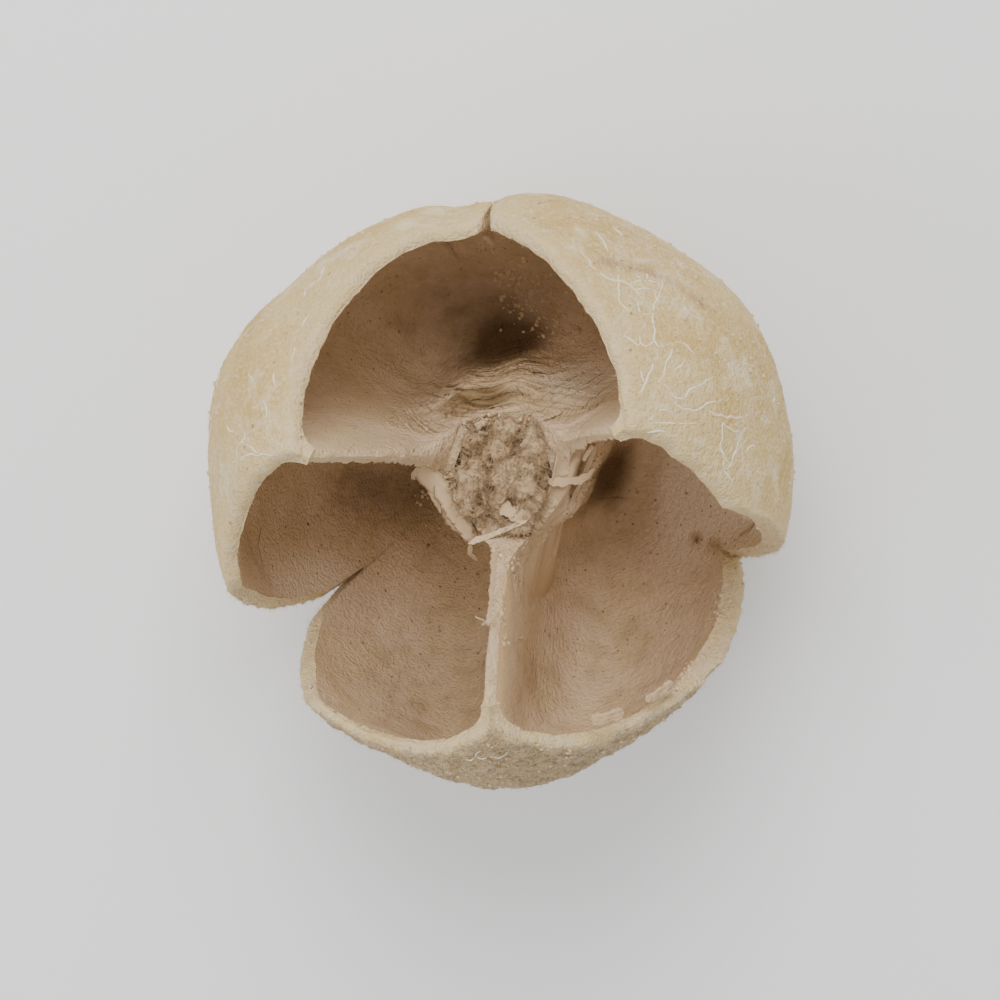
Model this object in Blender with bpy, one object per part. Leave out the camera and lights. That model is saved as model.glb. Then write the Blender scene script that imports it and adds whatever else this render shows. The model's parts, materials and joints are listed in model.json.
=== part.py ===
"""A dried, empty seed pod of three valves, open at the top, with a spongy column of pith on its axis."""
import bmesh
import bpy
import numpy as np
from mathutils import Vector, noise

# Driving dimensions: the radius in metres, angles in degrees, every other length in pod radii
POD_RADIUS = 0.030
LOWER_HALF_SQUASH = 0.96
BASE_LATITUDE = -78.0
VALVE_MIDDLES = (30.0, 150.0, 270.0)
SPLITS = (85.5, 211.0, 332.5)

# The outside: width and height of keel and seam, and azimuth, width and height of its uneven sides
KEEL = (13.0, 0.022)
SEAM = (2.6, -0.014)
SIDES = (
    (305.0, 30.0, -0.036),
    (76.0, 11.0, 0.022),
    (92.0, 6.0, -0.028),
    (128.0, 9.0, -0.018),
    (174.0, 11.0, -0.020),
    (243.0, 9.0, -0.016),
)
LOBE_HEIGHT = 0.012
SKIN_LUMPS = 0.007

# The wall and the three septa
WALL = 0.075
WALL_AT_BASE = 0.110
WALL_AT_LIP = 0.045
LIP_REACH = 18.0
SEPTUM_HALF = 0.018
SEPTUM_HALF_DEEP = 0.045
SEPTUM_SAG = (-0.07, 0.0, 0.12)
FILLET_AT_MOUTH = 0.05
FILLET_DEEP = 0.42
CHAMBER_HEART = (0.45, -0.05)
SEPTUM_REACH = 0.62

# The rim: lowest and highest latitude, the level stretch at a split, and how the climb bends
RIM_LOW = 15.0
RIM_TIP = 51.5
RIM_LEVEL = 6.0
RIM_BENDS = ((0.78, 0.85), (1.0, 1.08), (1.2, 1.7))
RIM_CROWN = 0.010
# The broken notch at each split: latitude of its foot, and its climb before and after the split
NOTCHES = ((0.0, 14.0, 14.0), (-27.0, 2.6, 3.4), (-29.0, 1.9, 2.4))
# The crack that runs on below a notch: azimuth, latitude of its end and climb
CRACK = (210.9, -41.0, 13.0)
RIM_ROUGHNESS = 0.9
BREAK_ROUGHNESS = 2.6

# The collar in the middle, where the septa meet, and the socket that holds the pith
HUB = (0.022, 0.055)
COLLAR_RADIUS = 0.196
COLLAR_SHOULDER = 0.060
COLLAR_FLARE = 0.030
COLLAR_LEAN = 0.020
COLLAR_TOP = 0.03
COLLAR_RAGGED = 0.035
COLLAR_FLUTES = 0.010
SOCKET_RADIUS = 0.168
SOCKET_FLOOR = -0.42

# The pith, which stands clear of its socket all round
PITH_RADIUS = 0.146
PITH_TOP = 0.110
PITH_LUMPS = 0.009
PITH_CROWN_LUMPS = 0.045
PITH_GAP = 0.012

# Shreds of dry tissue: where each one starts and ends, and its thickness
SHREDS = (
    ((-0.120, -0.240, -0.010), (0.105, -0.180, 0.085), 0.015),
    ((0.195, 0.060, -0.060), (0.305, 0.105, 0.120), 0.016),
    ((0.200, -0.010, -0.100), (0.305, -0.035, 0.050), 0.018),
    ((-0.210, 0.000, -0.060), (-0.285, 0.005, 0.060), 0.014),
)
SHRED_SIDES = 6
SHRED_TAPER = 0.35

# How finely the surfaces are divided
CHAMBER_SPANS = 44
CROWDING = 1.3
SEPTUM_SPANS = 12
COLLAR_SPANS = 8
CHAMBER_ROWS = 12
OUTSIDE_ROWS = 14
SOCKET_ROWS = 3
PITH_SIDES = 28
PITH_SIDE_ROWS = 8
PITH_CROWN_ROWS = 7
RAY_STEPS = 40
RAY_REACH = 2.0


def clear_scene():
    """Remove whatever the scene holds"""
    for item in list(bpy.data.objects):
        bpy.data.objects.remove(item)


def make_material(name, color, roughness):
    """A plain finish of one colour"""
    material = bpy.data.materials.new(name)
    material.use_nodes = True
    shader = material.node_tree.nodes["Principled BSDF"]
    shader.inputs["Base Color"].default_value = color
    shader.inputs["Roughness"].default_value = roughness
    shader.inputs["Metallic"].default_value = 0.0
    return material


def turned_from(azimuth, middle):
    """How far an azimuth is from another one, between -180 and 180 degrees"""
    return (azimuth - middle + 180.0) % 360.0 - 180.0


def hump(azimuth, middle, width, height):
    """A smooth rise, or a hollow where the height is below nought, round one azimuth"""
    return height * np.exp(-(turned_from(azimuth, middle) / width) ** 2)


def lumps(points, scale, seed):
    """Smooth noise at each point"""
    shift = Vector((seed, 2.0 * seed, 3.0 * seed))
    return np.array([noise.noise(Vector(point) * scale + shift) for point in points])


def eased(value):
    """A smooth step from nought to one"""
    share = np.clip(value, 0.0, 1.0)
    return share * share * (3.0 - 2.0 * share)


def heading(azimuth, latitude):
    """Unit vectors from azimuths and latitudes"""
    turn = np.radians(azimuth)
    rise = np.radians(latitude)
    return np.stack([np.cos(rise) * np.cos(turn), np.cos(rise) * np.sin(turn), np.sin(rise)], axis=-1)


def lobed_radius(azimuth, latitude):
    """Distance from the pod's middle to its smooth three-lobed form"""
    rise = LOBE_HEIGHT * np.cos(3.0 * np.radians(azimuth - VALVE_MIDDLES[0]))
    rise = rise + sum(hump(azimuth, *side) for side in SIDES)
    return 1.0 + rise * np.cos(np.radians(latitude)) ** 1.5


def outer_radius(azimuth, latitude):
    """Distance from the pod's middle to its skin, with a keel up each valve and a seam below each split"""
    rise = sum(hump(azimuth, middle, *KEEL) for middle in VALVE_MIDDLES)
    rise = rise + sum(hump(azimuth, split, *SEAM) for split in SPLITS)
    return lobed_radius(azimuth, latitude) + rise * np.cos(np.radians(latitude)) ** 1.5


def squashed(points):
    """The lower half, a little flatter than a ball"""
    result = points.copy()
    result[:, 2] = np.where(result[:, 2] < 0.0, result[:, 2] * LOWER_HALF_SQUASH, result[:, 2])
    return result


def skin_points(azimuth, latitude):
    """Points of the outside"""
    out = heading(azimuth, latitude)
    radius = outer_radius(azimuth, latitude) + SKIN_LUMPS * lumps(out, 4.0, 1.0)
    return squashed(out * radius[:, None])


def whole_rim(azimuth):
    """Latitude of the rim before anything broke off it, with a bend of its own on each side of a tip"""
    turns = np.array([turned_from(azimuth, middle) for middle in VALVE_MIDDLES])
    nearest = np.argmin(np.abs(turns), axis=0)
    turn = np.take_along_axis(turns, nearest[None], axis=0)[0]
    climb = np.clip((60.0 - np.abs(turn) - RIM_LEVEL) / (60.0 - RIM_LEVEL), 0.0, 1.0)
    bend = np.array(RIM_BENDS)[nearest, (turn > 0.0).astype(int)]
    return RIM_LOW + (RIM_TIP - RIM_LOW) * climb ** bend


def wall_thickness(azimuth, latitude):
    """The wall is thicker towards the base, and thins to a lip towards the whole rim"""
    below = (whole_rim(azimuth) - latitude) / LIP_REACH
    thick = WALL + (WALL_AT_BASE - WALL) * eased(-latitude / 70.0)
    return thick - (WALL - WALL_AT_LIP) * eased(1.0 - below)


def inner_points(azimuth, latitude):
    """Points of the wall's inner face"""
    radius = lobed_radius(azimuth, latitude) - wall_thickness(azimuth, latitude)
    return squashed(heading(azimuth, latitude) * radius[:, None])


def rim_latitude(azimuth):
    """Latitude of the rim: three tips with low stretches between, and a broken notch at each split"""
    whole = whole_rim(azimuth)
    rim = np.minimum(whole, CRACK[1] + CRACK[2] * np.abs(turned_from(azimuth, CRACK[0])))
    for split, (foot, before, after) in zip(SPLITS, NOTCHES):
        turn = turned_from(azimuth, split)
        rim = np.minimum(rim, foot + np.where(turn < 0.0, -turn * before, turn * after))
    ragged = lumps(heading(azimuth, np.zeros_like(azimuth)), 14.0, 5.0)
    return rim + ragged * np.where(rim < whole - 1.0, BREAK_ROUGHNESS, RIM_ROUGHNESS)


def chamber_azimuths(chamber):
    """Azimuths across a chamber, from one valve's middle to the next, crowded at its split"""
    split = SPLITS[chamber]
    before = split - VALVE_MIDDLES[chamber]
    steps = np.linspace(-1.0, 1.0, CHAMBER_SPANS + 1)
    reach = np.where(steps < 0.0, -before, 120.0 - before)
    return split + reach * np.abs(steps) ** CROWDING


def septum_line(middle):
    """Direction of a septum from the hub to its valve's middle, and the direction across it"""
    turn = np.radians(middle)
    along = np.array([SEPTUM_REACH * np.cos(turn) - HUB[0], SEPTUM_REACH * np.sin(turn) - HUB[1]])
    along = along / np.linalg.norm(along)
    return along, np.array([-along[1], along[0]])


def septum_half(height):
    """Half a septum's thickness, growing with depth"""
    return SEPTUM_HALF + (SEPTUM_HALF_DEEP - SEPTUM_HALF) * eased((0.5 - height) / 1.2)


def collar_radius(turn, height):
    """Radius of the middle column: a thin edge at the top, fluted and wider lower down"""
    depth = COLLAR_TOP - height
    shoulder = COLLAR_SHOULDER * eased(depth / 0.15) + COLLAR_FLARE * eased(depth / 0.8)
    lean = COLLAR_LEAN * np.sin(turn) * eased(depth / 0.25)
    return COLLAR_RADIUS + shoulder + lean + COLLAR_FLUTES * np.cos(turn * 9.0) * eased(depth / 0.1)


def smooth_max(first, second, blend):
    """The larger of two values, rounded where they are close"""
    near = np.maximum(blend - np.abs(first - second), 0.0) / blend
    return np.maximum(first, second) + near * near * blend * 0.25


def chamber_field(points, chamber):
    """Below nought inside a chamber, whose walls round into each other, more so deeper down"""
    x, y, z = points.T
    full = np.stack([x, y, np.where(z < 0.0, z / LOWER_HALF_SQUASH, z)], axis=-1)
    distance = np.linalg.norm(full, axis=1)
    azimuth = np.degrees(np.arctan2(y, x))
    latitude = np.degrees(np.arcsin(np.clip(full[:, 2] / distance, -1.0, 1.0)))
    wall = distance - lobed_radius(azimuth, latitude) + wall_thickness(azimuth, latitude)
    from_hub = np.stack([x - HUB[0], y - HUB[1]], axis=-1)
    first = septum_half(z) - from_hub @ septum_line(VALVE_MIDDLES[chamber])[1]
    second = septum_half(z) + from_hub @ septum_line(VALVE_MIDDLES[(chamber + 1) % 3])[1]
    turn = np.arctan2(from_hub[:, 1], from_hub[:, 0])
    column = collar_radius(turn, z) - np.linalg.norm(from_hub, axis=1)
    blend = FILLET_AT_MOUTH + (FILLET_DEEP - FILLET_AT_MOUTH) * eased((0.78 - z) / 1.2)
    field = smooth_max(wall, smooth_max(first, second, blend), blend)
    return smooth_max(field, column, blend * 0.5)


def chamber_axis(chamber):
    """Where the upright middle line of a chamber stands, seen from above"""
    turn = np.radians(VALVE_MIDDLES[chamber] + 60.0)
    return CHAMBER_HEART[0] * np.array([np.cos(turn), np.sin(turn)])


def cast(origins, rays, chamber):
    """Points where rays from inside a chamber meet its walls"""
    near = np.zeros(len(rays))
    far = np.full(len(rays), RAY_REACH)
    for _ in range(RAY_STEPS):
        middle = (near + far) / 2.0
        inside = chamber_field(origins + rays * middle[:, None], chamber) < 0.0
        near = np.where(inside, middle, near)
        far = np.where(inside, far, middle)
    return origins + rays * near[:, None]


def unit(vectors):
    """Vectors of length one"""
    return vectors / np.linalg.norm(vectors, axis=-1, keepdims=True)


def septum_edge(index, side):
    """Points down a septum's free edge, on one of its faces, from the valve's tip to the collar"""
    middle = VALVE_MIDDLES[index]
    along, across = septum_line(middle)
    tip = inner_points(np.array([middle]), rim_latitude(np.array([middle])))[0]
    reach = np.array([tip[0] - HUB[0], tip[1] - HUB[1]]) @ along
    share = np.linspace(0.0, 1.0, SEPTUM_SPANS + 1)
    distance = reach + (COLLAR_RADIUS - reach) * share
    height = tip[2] + (COLLAR_TOP - tip[2]) * share + SEPTUM_SAG[index] * np.sin(np.pi * share)
    height = height + 0.008 * lumps(np.stack([distance, height, share], axis=-1), 12.0, 3.0 + index)
    offset = side * septum_half(height)
    plan = np.array(HUB) + distance[:, None] * along + offset[:, None] * across
    return np.column_stack([plan, height])


def collar_edge(chamber):
    """Points of the collar's top between two septa"""
    start = np.arctan2(*septum_line(VALVE_MIDDLES[chamber])[0][::-1])
    end = np.arctan2(*septum_line(VALVE_MIDDLES[(chamber + 1) % 3])[0][::-1])
    sweep = (end - start) % (2.0 * np.pi)
    turn = start + sweep * np.linspace(0.0, 1.0, COLLAR_SPANS + 1)[1:-1]
    around = np.stack([np.cos(turn), np.sin(turn), turn], axis=-1)
    height = COLLAR_TOP + COLLAR_RAGGED * lumps(around, 2.5, 4.0)
    radius = collar_radius(turn, height)
    return np.stack([HUB[0] + radius * np.cos(turn), HUB[1] + radius * np.sin(turn), height], axis=-1)


class Skin:
    """Points and faces of one closed mesh, as they are added"""

    def __init__(self):
        self.points = []
        self.faces = []

    def add(self, points):
        """Keep points and return their numbers"""
        first = len(self.points)
        self.points.extend(tuple(float(value) for value in point) for point in points)
        return list(range(first, len(self.points)))

    def strip(self, upper, lower, closed=False):
        """Faces between two rows of points"""
        count = len(upper)
        for index in range(count if closed else count - 1):
            following = (index + 1) % count
            self.faces.append((upper[index], upper[following], lower[following], lower[index]))

    def fan(self, ring, tip):
        """Faces from a closed row of points to one point"""
        for index, corner in enumerate(ring):
            self.faces.append((corner, ring[(index + 1) % len(ring)], tip))

    def build(self, name, material, lift):
        """A smooth object of these faces, at real size, with its base at height nought"""
        mesh = bpy.data.meshes.new(name)
        place = [(x * POD_RADIUS, y * POD_RADIUS, (z + lift) * POD_RADIUS) for x, y, z in self.points]
        mesh.from_pydata(place, [], self.faces)
        shape = bmesh.new()
        shape.from_mesh(mesh)
        bmesh.ops.recalc_face_normals(shape, faces=shape.faces)
        shape.to_mesh(mesh)
        shape.free()
        mesh.shade_smooth()
        mesh.set_sharp_from_angle(angle=np.radians(50.0))
        mesh.materials.append(material)
        item = bpy.data.objects.new(name, mesh)
        bpy.context.scene.collection.objects.link(item)
        return item


def chamber_mouth(chamber, azimuth):
    """Where a chamber's mouth lies, as points on its walls: along the rim, down a septum, round and up"""
    wall = inner_points(azimuth, rim_latitude(azimuth))
    down = septum_edge((chamber + 1) % 3, -1.0)
    wall[-1] = down[0]
    up = septum_edge(chamber, 1.0)
    wall[0] = up[0]
    around = collar_edge(chamber)[::-1]
    return np.concatenate([wall, down[1:], around, up[:0:-1]])


def add_chamber(skin, chamber, azimuth):
    """Add a chamber's inner face, and return its mouth as rim, end septum, collar and start septum"""
    axis = chamber_axis(chamber)
    mouth = chamber_mouth(chamber, azimuth)
    outward = unit(mouth[:, :2] - axis)
    heart = np.minimum(mouth[:, 2], CHAMBER_HEART[1])
    rows = []
    for share in np.linspace(0.0, 1.0, CHAMBER_ROWS + 1)[:-1]:
        dip = share * np.pi / 2.0
        height = mouth[:, 2] + (heart - mouth[:, 2]) * share
        origins = np.column_stack([np.tile(axis, (len(mouth), 1)), height])
        rays = np.column_stack([outward * np.cos(dip), np.full(len(mouth), -np.sin(dip))])
        rows.append(skin.add(cast(origins, rays, chamber)))
    for upper, lower in zip(rows, rows[1:]):
        skin.strip(upper, lower, closed=True)
    below = cast(np.array([[*axis, CHAMBER_HEART[1]]]), np.array([[0.0, 0.0, -1.0]]), chamber)
    skin.fan(rows[-1], skin.add(below)[0])
    loop = rows[0]
    rim = loop[:CHAMBER_SPANS + 1]
    down = [rim[-1]] + loop[CHAMBER_SPANS + 1:CHAMBER_SPANS + 1 + SEPTUM_SPANS]
    around = loop[CHAMBER_SPANS + 1 + SEPTUM_SPANS:-SEPTUM_SPANS]
    up = [rim[0]] + loop[:-SEPTUM_SPANS - 1:-1]
    return rim, down, around, up


def add_outside(skin, azimuth):
    """Add the outside, from the rim to the flat spot it rests on, and return the rim's row"""
    rim = rim_latitude(azimuth)
    rows = []
    for share in np.linspace(0.0, 1.0, OUTSIDE_ROWS + 1):
        points = skin_points(azimuth, rim + (BASE_LATITUDE - rim) * share)
        if share == 1.0:
            points[:, 2] = base_height()
        rows.append(skin.add(points))
    for upper, lower in zip(rows, rows[1:]):
        skin.strip(upper, lower, closed=True)
    skin.faces.append(tuple(rows[-1]))
    return rows[0]


def base_height():
    """Height of the flat spot, in pod radii from the widest level"""
    return LOWER_HALF_SQUASH * np.sin(np.radians(BASE_LATITUDE))


def crest(skin, first, second, lift):
    """Add points midway between two rows, raised a little"""
    points = [
        (np.array(skin.points[a]) + np.array(skin.points[b])) / 2.0 + np.array([0.0, 0.0, lift])
        for a, b in zip(first, second)
    ]
    return skin.add(points)


def make_shell(material):
    """The woody pod: its outside, three chambers, the rim, the septa's edges, and the socket"""
    skin = Skin()
    spans = [chamber_azimuths(chamber) for chamber in range(3)]
    outside = add_outside(skin, np.concatenate([azimuth[:-1] for azimuth in spans]))
    mouths = [add_chamber(skin, chamber, azimuth) for chamber, azimuth in enumerate(spans)]
    septa = []
    for index in range(3):
        before = mouths[index - 1][1]
        after = mouths[index][3]
        ridge = crest(skin, before, after, RIM_CROWN)
        skin.strip(before, ridge)
        skin.strip(ridge, after)
        septa.append(ridge)
    collar = []
    for chamber, (rim, down, around, up) in enumerate(mouths):
        first = chamber * CHAMBER_SPANS
        outer = [outside[(first + step) % len(outside)] for step in range(CHAMBER_SPANS + 1)]
        middle = crest(skin, outer[1:-1], rim[1:-1], RIM_CROWN)
        middle = [septa[chamber][0]] + middle + [septa[(chamber + 1) % 3][0]]
        skin.strip(outer, middle)
        skin.strip(middle, rim)
        collar += [septa[chamber][-1], up[-1]] + around[::-1] + [down[-1]]
    add_socket(skin, collar)
    return skin.build("pod_shell", material, -base_height())


def add_socket(skin, collar):
    """Add the collar's top and the round socket inside it"""
    edge = np.array([skin.points[number] for number in collar])
    turn = np.arctan2(edge[:, 1] - HUB[1], edge[:, 0] - HUB[0])
    above = collar
    for share in np.linspace(0.0, 1.0, SOCKET_ROWS + 1):
        height = edge[:, 2] + (SOCKET_FLOOR - edge[:, 2]) * share
        plan = np.array(HUB) + SOCKET_RADIUS * np.stack([np.cos(turn), np.sin(turn)], axis=-1)
        row = skin.add(np.column_stack([plan, height]))
        skin.strip(above, row, closed=True)
        above = row
    skin.fan(above, skin.add([(HUB[0], HUB[1], SOCKET_FLOOR)])[0])


def make_shred(number, start, end, thickness):
    """A tapered sliver of dry tissue, to be fused into the shell"""
    first = Vector(start) * POD_RADIUS
    last = Vector(end) * POD_RADIUS
    lift = Vector((HUB[0] * POD_RADIUS, HUB[1] * POD_RADIUS, -base_height() * POD_RADIUS))
    shape = bmesh.new()
    bmesh.ops.create_cone(
        shape, cap_ends=True, segments=SHRED_SIDES, depth=(last - first).length,
        radius1=thickness * POD_RADIUS, radius2=thickness * POD_RADIUS * SHRED_TAPER)
    turn = (last - first).to_track_quat("Z", "Y")
    for corner in shape.verts:
        corner.co = turn @ corner.co + (first + last) / 2.0 + lift
    mesh = bpy.data.meshes.new(f"shred_{number}")
    shape.to_mesh(mesh)
    shape.free()
    return bpy.data.objects.new(f"shred_{number}", mesh)


def fuse_shreds(shell):
    """Join the shreds to the shell with one Boolean union, and remove the loose ones"""
    group = bpy.data.collections.new("shreds")
    bpy.context.scene.collection.children.link(group)
    for number, (start, end, thickness) in enumerate(SHREDS):
        group.objects.link(make_shred(number, start, end, thickness))
    union = shell.modifiers.new("fused_shreds", "BOOLEAN")
    union.operation = "UNION"
    union.operand_type = "COLLECTION"
    union.collection = group
    union.solver = "EXACT"
    fused = bpy.data.meshes.new_from_object(shell.evaluated_get(bpy.context.evaluated_depsgraph_get()))
    shell.modifiers.remove(union)
    shell.data = fused
    fused.name = "pod_shell"
    for item in list(group.objects):
        bpy.data.objects.remove(item)
    bpy.data.collections.remove(group)


def make_pith(material):
    """The spongy pith: a plug that fills the socket, with a lumpy crown above the collar"""
    skin = Skin()
    turn = np.linspace(0.0, 2.0 * np.pi, PITH_SIDES, endpoint=False)
    bottom = SOCKET_FLOOR + PITH_GAP
    shoulder = COLLAR_TOP
    profile = [(PITH_RADIUS, height, 0.0) for height in np.linspace(bottom, shoulder, PITH_SIDE_ROWS)]
    for share in np.linspace(0.0, 0.94, PITH_CROWN_ROWS + 1)[1:]:
        angle = share * np.pi / 2.0
        height = shoulder + (PITH_TOP - shoulder) * np.sin(angle)
        profile.append((PITH_RADIUS * np.cos(angle) ** 0.7, height, eased(share * 2.0)))
    rows = []
    for radius, height, crown in profile:
        ring = np.stack([radius * np.cos(turn), radius * np.sin(turn), np.full(PITH_SIDES, height)], axis=-1)
        ring[:, :2] *= 1.0 + (PITH_LUMPS / PITH_RADIUS) * lumps(ring, 22.0, 8.0)[:, None]
        ring[:, 2] += crown * PITH_CROWN_LUMPS * lumps(ring, 20.0, 9.0)
        rows.append(skin.add(ring + np.array([HUB[0], HUB[1], 0.0])))
    for lower, upper in zip(rows, rows[1:]):
        skin.strip(lower, upper, closed=True)
    top = np.mean([skin.points[number] for number in rows[-1]], axis=0)
    skin.fan(rows[-1], skin.add([top])[0])
    skin.fan(rows[0], skin.add([(HUB[0], HUB[1], bottom)])[0])
    return skin.build("pith_column", material, -base_height())


def main():
    """Build the pod"""
    clear_scene()
    wood = make_material("bleached_wood", (0.62, 0.52, 0.38, 1.0), 0.85)
    pith = make_material("dry_pith", (0.66, 0.54, 0.40, 1.0), 0.95)
    shell = make_shell(wood)
    fuse_shreds(shell)
    make_pith(pith)


main()
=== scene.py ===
"""A bleached seed pod of three valves, open at the top, with its fine skin, lining, pith, veins and shreds"""
import json

import bmesh
import bpy
import numpy as np
from bpy.props import FloatProperty, FloatVectorProperty, IntProperty, PointerProperty
from mathutils import Matrix, Vector, noise

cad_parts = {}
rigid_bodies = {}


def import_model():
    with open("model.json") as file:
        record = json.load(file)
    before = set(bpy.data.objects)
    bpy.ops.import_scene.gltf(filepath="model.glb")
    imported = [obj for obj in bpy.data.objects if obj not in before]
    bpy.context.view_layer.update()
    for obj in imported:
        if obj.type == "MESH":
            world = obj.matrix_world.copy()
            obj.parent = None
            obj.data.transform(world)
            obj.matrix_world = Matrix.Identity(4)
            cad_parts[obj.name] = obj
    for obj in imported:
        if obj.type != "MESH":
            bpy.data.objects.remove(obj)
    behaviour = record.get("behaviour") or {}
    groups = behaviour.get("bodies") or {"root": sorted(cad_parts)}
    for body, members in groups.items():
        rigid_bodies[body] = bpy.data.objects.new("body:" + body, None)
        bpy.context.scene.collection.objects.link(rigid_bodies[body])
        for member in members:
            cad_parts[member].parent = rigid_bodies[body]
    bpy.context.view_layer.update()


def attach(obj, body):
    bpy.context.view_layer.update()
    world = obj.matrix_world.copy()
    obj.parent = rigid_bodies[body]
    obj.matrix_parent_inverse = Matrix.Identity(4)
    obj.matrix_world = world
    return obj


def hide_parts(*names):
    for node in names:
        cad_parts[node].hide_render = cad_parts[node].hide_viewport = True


bl_info = {
    "name": "Bleached seed pod",
    "version": (1, 0, 0),
    "blender": (4, 5, 0),
    "location": "View3D > Sidebar > Seed pod",
    "description": "A dried, bleached seed pod of three valves with its pith, veins, crumbs and torn fibres",
    "category": "Add Mesh",
}

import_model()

# The pod's form: the radius in metres, angles in degrees, every other length in pod radii
POD_RADIUS = 0.030
LOWER_HALF_SQUASH = 0.96
BASE_LATITUDE = -78.0
VALVE_MIDDLES = (30.0, 150.0, 270.0)
SPLITS = (85.5, 211.0, 332.5)
KEEL = (13.0, 0.022)
SEAM = (2.6, -0.014)
SIDES = (
    (305.0, 30.0, -0.036),
    (76.0, 11.0, 0.022),
    (92.0, 6.0, -0.028),
    (128.0, 9.0, -0.018),
    (174.0, 11.0, -0.020),
    (243.0, 9.0, -0.016),
)
LOBE_HEIGHT = 0.012
SKIN_LUMPS = 0.007
WALL = 0.075
WALL_AT_BASE = 0.110
WALL_AT_LIP = 0.045
LIP_REACH = 18.0
SEPTUM_HALF = 0.018
SEPTUM_HALF_DEEP = 0.045
SEPTUM_SAG = (-0.07, 0.0, 0.12)
FILLET_AT_MOUTH = 0.05
FILLET_DEEP = 0.42
CHAMBER_HEART = (0.45, -0.05)
SEPTUM_REACH = 0.62
RIM_LOW = 15.0
RIM_TIP = 51.5
RIM_LEVEL = 6.0
RIM_BENDS = ((0.78, 0.85), (1.0, 1.08), (1.2, 1.7))
NOTCHES = ((0.0, 14.0, 14.0), (-27.0, 2.6, 3.4), (-29.0, 1.9, 2.4))
CRACK = (210.9, -41.0, 13.0)
RIM_ROUGHNESS = 0.9
BREAK_ROUGHNESS = 2.6
HUB = (0.022, 0.055)
COLLAR_RADIUS = 0.196
COLLAR_SHOULDER = 0.060
COLLAR_FLARE = 0.030
COLLAR_LEAN = 0.020
COLLAR_TOP = 0.03
COLLAR_RAGGED = 0.035
COLLAR_FLUTES = 0.010
SOCKET_RADIUS = 0.168
SOCKET_FLOOR = -0.42
PITH_RADIUS = 0.150
PITH_TOP = 0.110
PITH_GAP = 0.012

# How finely the dressed surfaces are divided
CHAMBER_SPANS = 132
CROWDING = 1.2
SEPTUM_SPANS = 56
COLLAR_SPANS = 22
CHAMBER_ROWS = 72
OUTSIDE_ROWS = 84
ROLL_STEPS = 6
EDGE_STEPS = 4
SOCKET_ROWS = 12
SCAR_ROWS = 6
RAY_STEPS = 34
RAY_REACH = 2.0

# White veins drawn one by one: azimuth and latitude of their bends, in degrees
DRAWN_VEINS = (
    ((56.5, 21.7), (54.3, 26.6), (53.0, 30.7), (51.4, 32.1), (49.2, 31.6)),
    ((47.6, 15.9), (46.8, 20.9), (46.1, 25.4), (45.3, 29.0), (43.8, 31.0), (42.2, 32.2), (41.0, 34.4),
     (39.0, 35.4), (38.9, 32.9), (38.1, 31.3)),
    ((47.8, 22.5), (46.3, 24.9)),
    ((49.7, 28.3), (48.1, 30.0), (46.5, 30.6), (45.7, 28.7)),
    ((45.4, 32.3), (45.2, 34.0)),
    ((41.0, 34.4), (41.9, 36.6), (43.1, 37.0), (44.8, 35.3)),
    ((43.1, 37.0), (43.3, 38.2), (45.3, 37.9), (47.3, 37.9)),
    ((39.0, 35.4), (37.9, 37.7), (37.1, 40.2), (36.1, 42.7), (35.0, 44.6), (35.0, 45.8)),
    ((38.9, 41.8), (36.5, 42.7)),
    ((38.1, 31.3), (36.1, 35.2), (34.7, 38.7), (33.8, 41.1)),
    ((38.1, 31.3), (36.8, 29.8), (35.2, 29.2), (33.6, 29.3), (32.0, 28.9)),
    ((33.0, 40.2), (30.8, 40.1), (29.4, 39.9), (27.7, 39.0), (26.8, 37.8), (27.9, 35.5), (27.4, 32.7),
     (27.1, 30.1), (26.7, 27.5)),
    ((33.9, 36.1), (33.5, 33.8), (33.0, 31.9)),
    ((29.0, 40.8), (25.9, 40.4), (23.7, 38.2), (22.9, 35.7), (22.9, 32.5), (21.8, 29.1), (21.4, 27.2)),
    ((29.0, 45.0), (27.8, 43.0), (26.2, 42.0)),
    ((27.4, 46.7), (25.2, 45.2), (23.1, 42.7), (21.5, 39.3), (20.0, 37.2)),
    ((29.0, 45.0), (28.5, 46.6), (27.4, 46.7)),
    ((21.9, 34.7), (19.5, 32.5), (17.8, 29.7), (16.8, 26.2), (15.9, 21.8)),
    ((25.8, 49.2), (24.5, 47.3), (23.1, 45.9)),
    ((61.0, 6.2), (59.7, 7.8), (58.6, 9.0)),
    ((63.8, 12.7), (61.9, 14.9), (60.0, 18.2), (58.7, 20.0)),
    ((9.3, 27.0), (9.6, 24.2), (9.8, 22.0)),
    ((162.6, 34.0), (160.5, 36.4), (157.5, 40.5), (155.3, 44.1), (154.2, 47.0)),
    ((160.5, 36.4), (158.9, 35.1), (156.4, 36.6), (154.3, 37.8), (153.3, 36.8)),
    ((156.4, 36.6), (155.5, 39.9), (155.6, 42.2), (155.3, 44.1)),
    ((134.6, 36.7), (133.2, 35.2), (131.5, 34.1), (131.2, 32.6)),
    ((138.3, 34.7), (139.7, 36.4), (140.3, 38.7)),
    ((143.5, 27.0), (143.9, 29.9), (143.8, 32.2)),
    ((155.6, 27.9), (155.9, 31.1), (154.9, 34.6)),
    ((144.6, 37.3), (145.5, 40.0), (147.7, 40.9)),
    ((128.5, 29.9), (126.8, 28.0), (124.8, 27.1)),
)
# The crease across the upper part of one valve
CREASE = ((60.0, 22.8), (55.2, 20.4), (49.4, 16.8), (43.9, 15.8), (39.6, 15.4), (37.6, 15.4))
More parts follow.
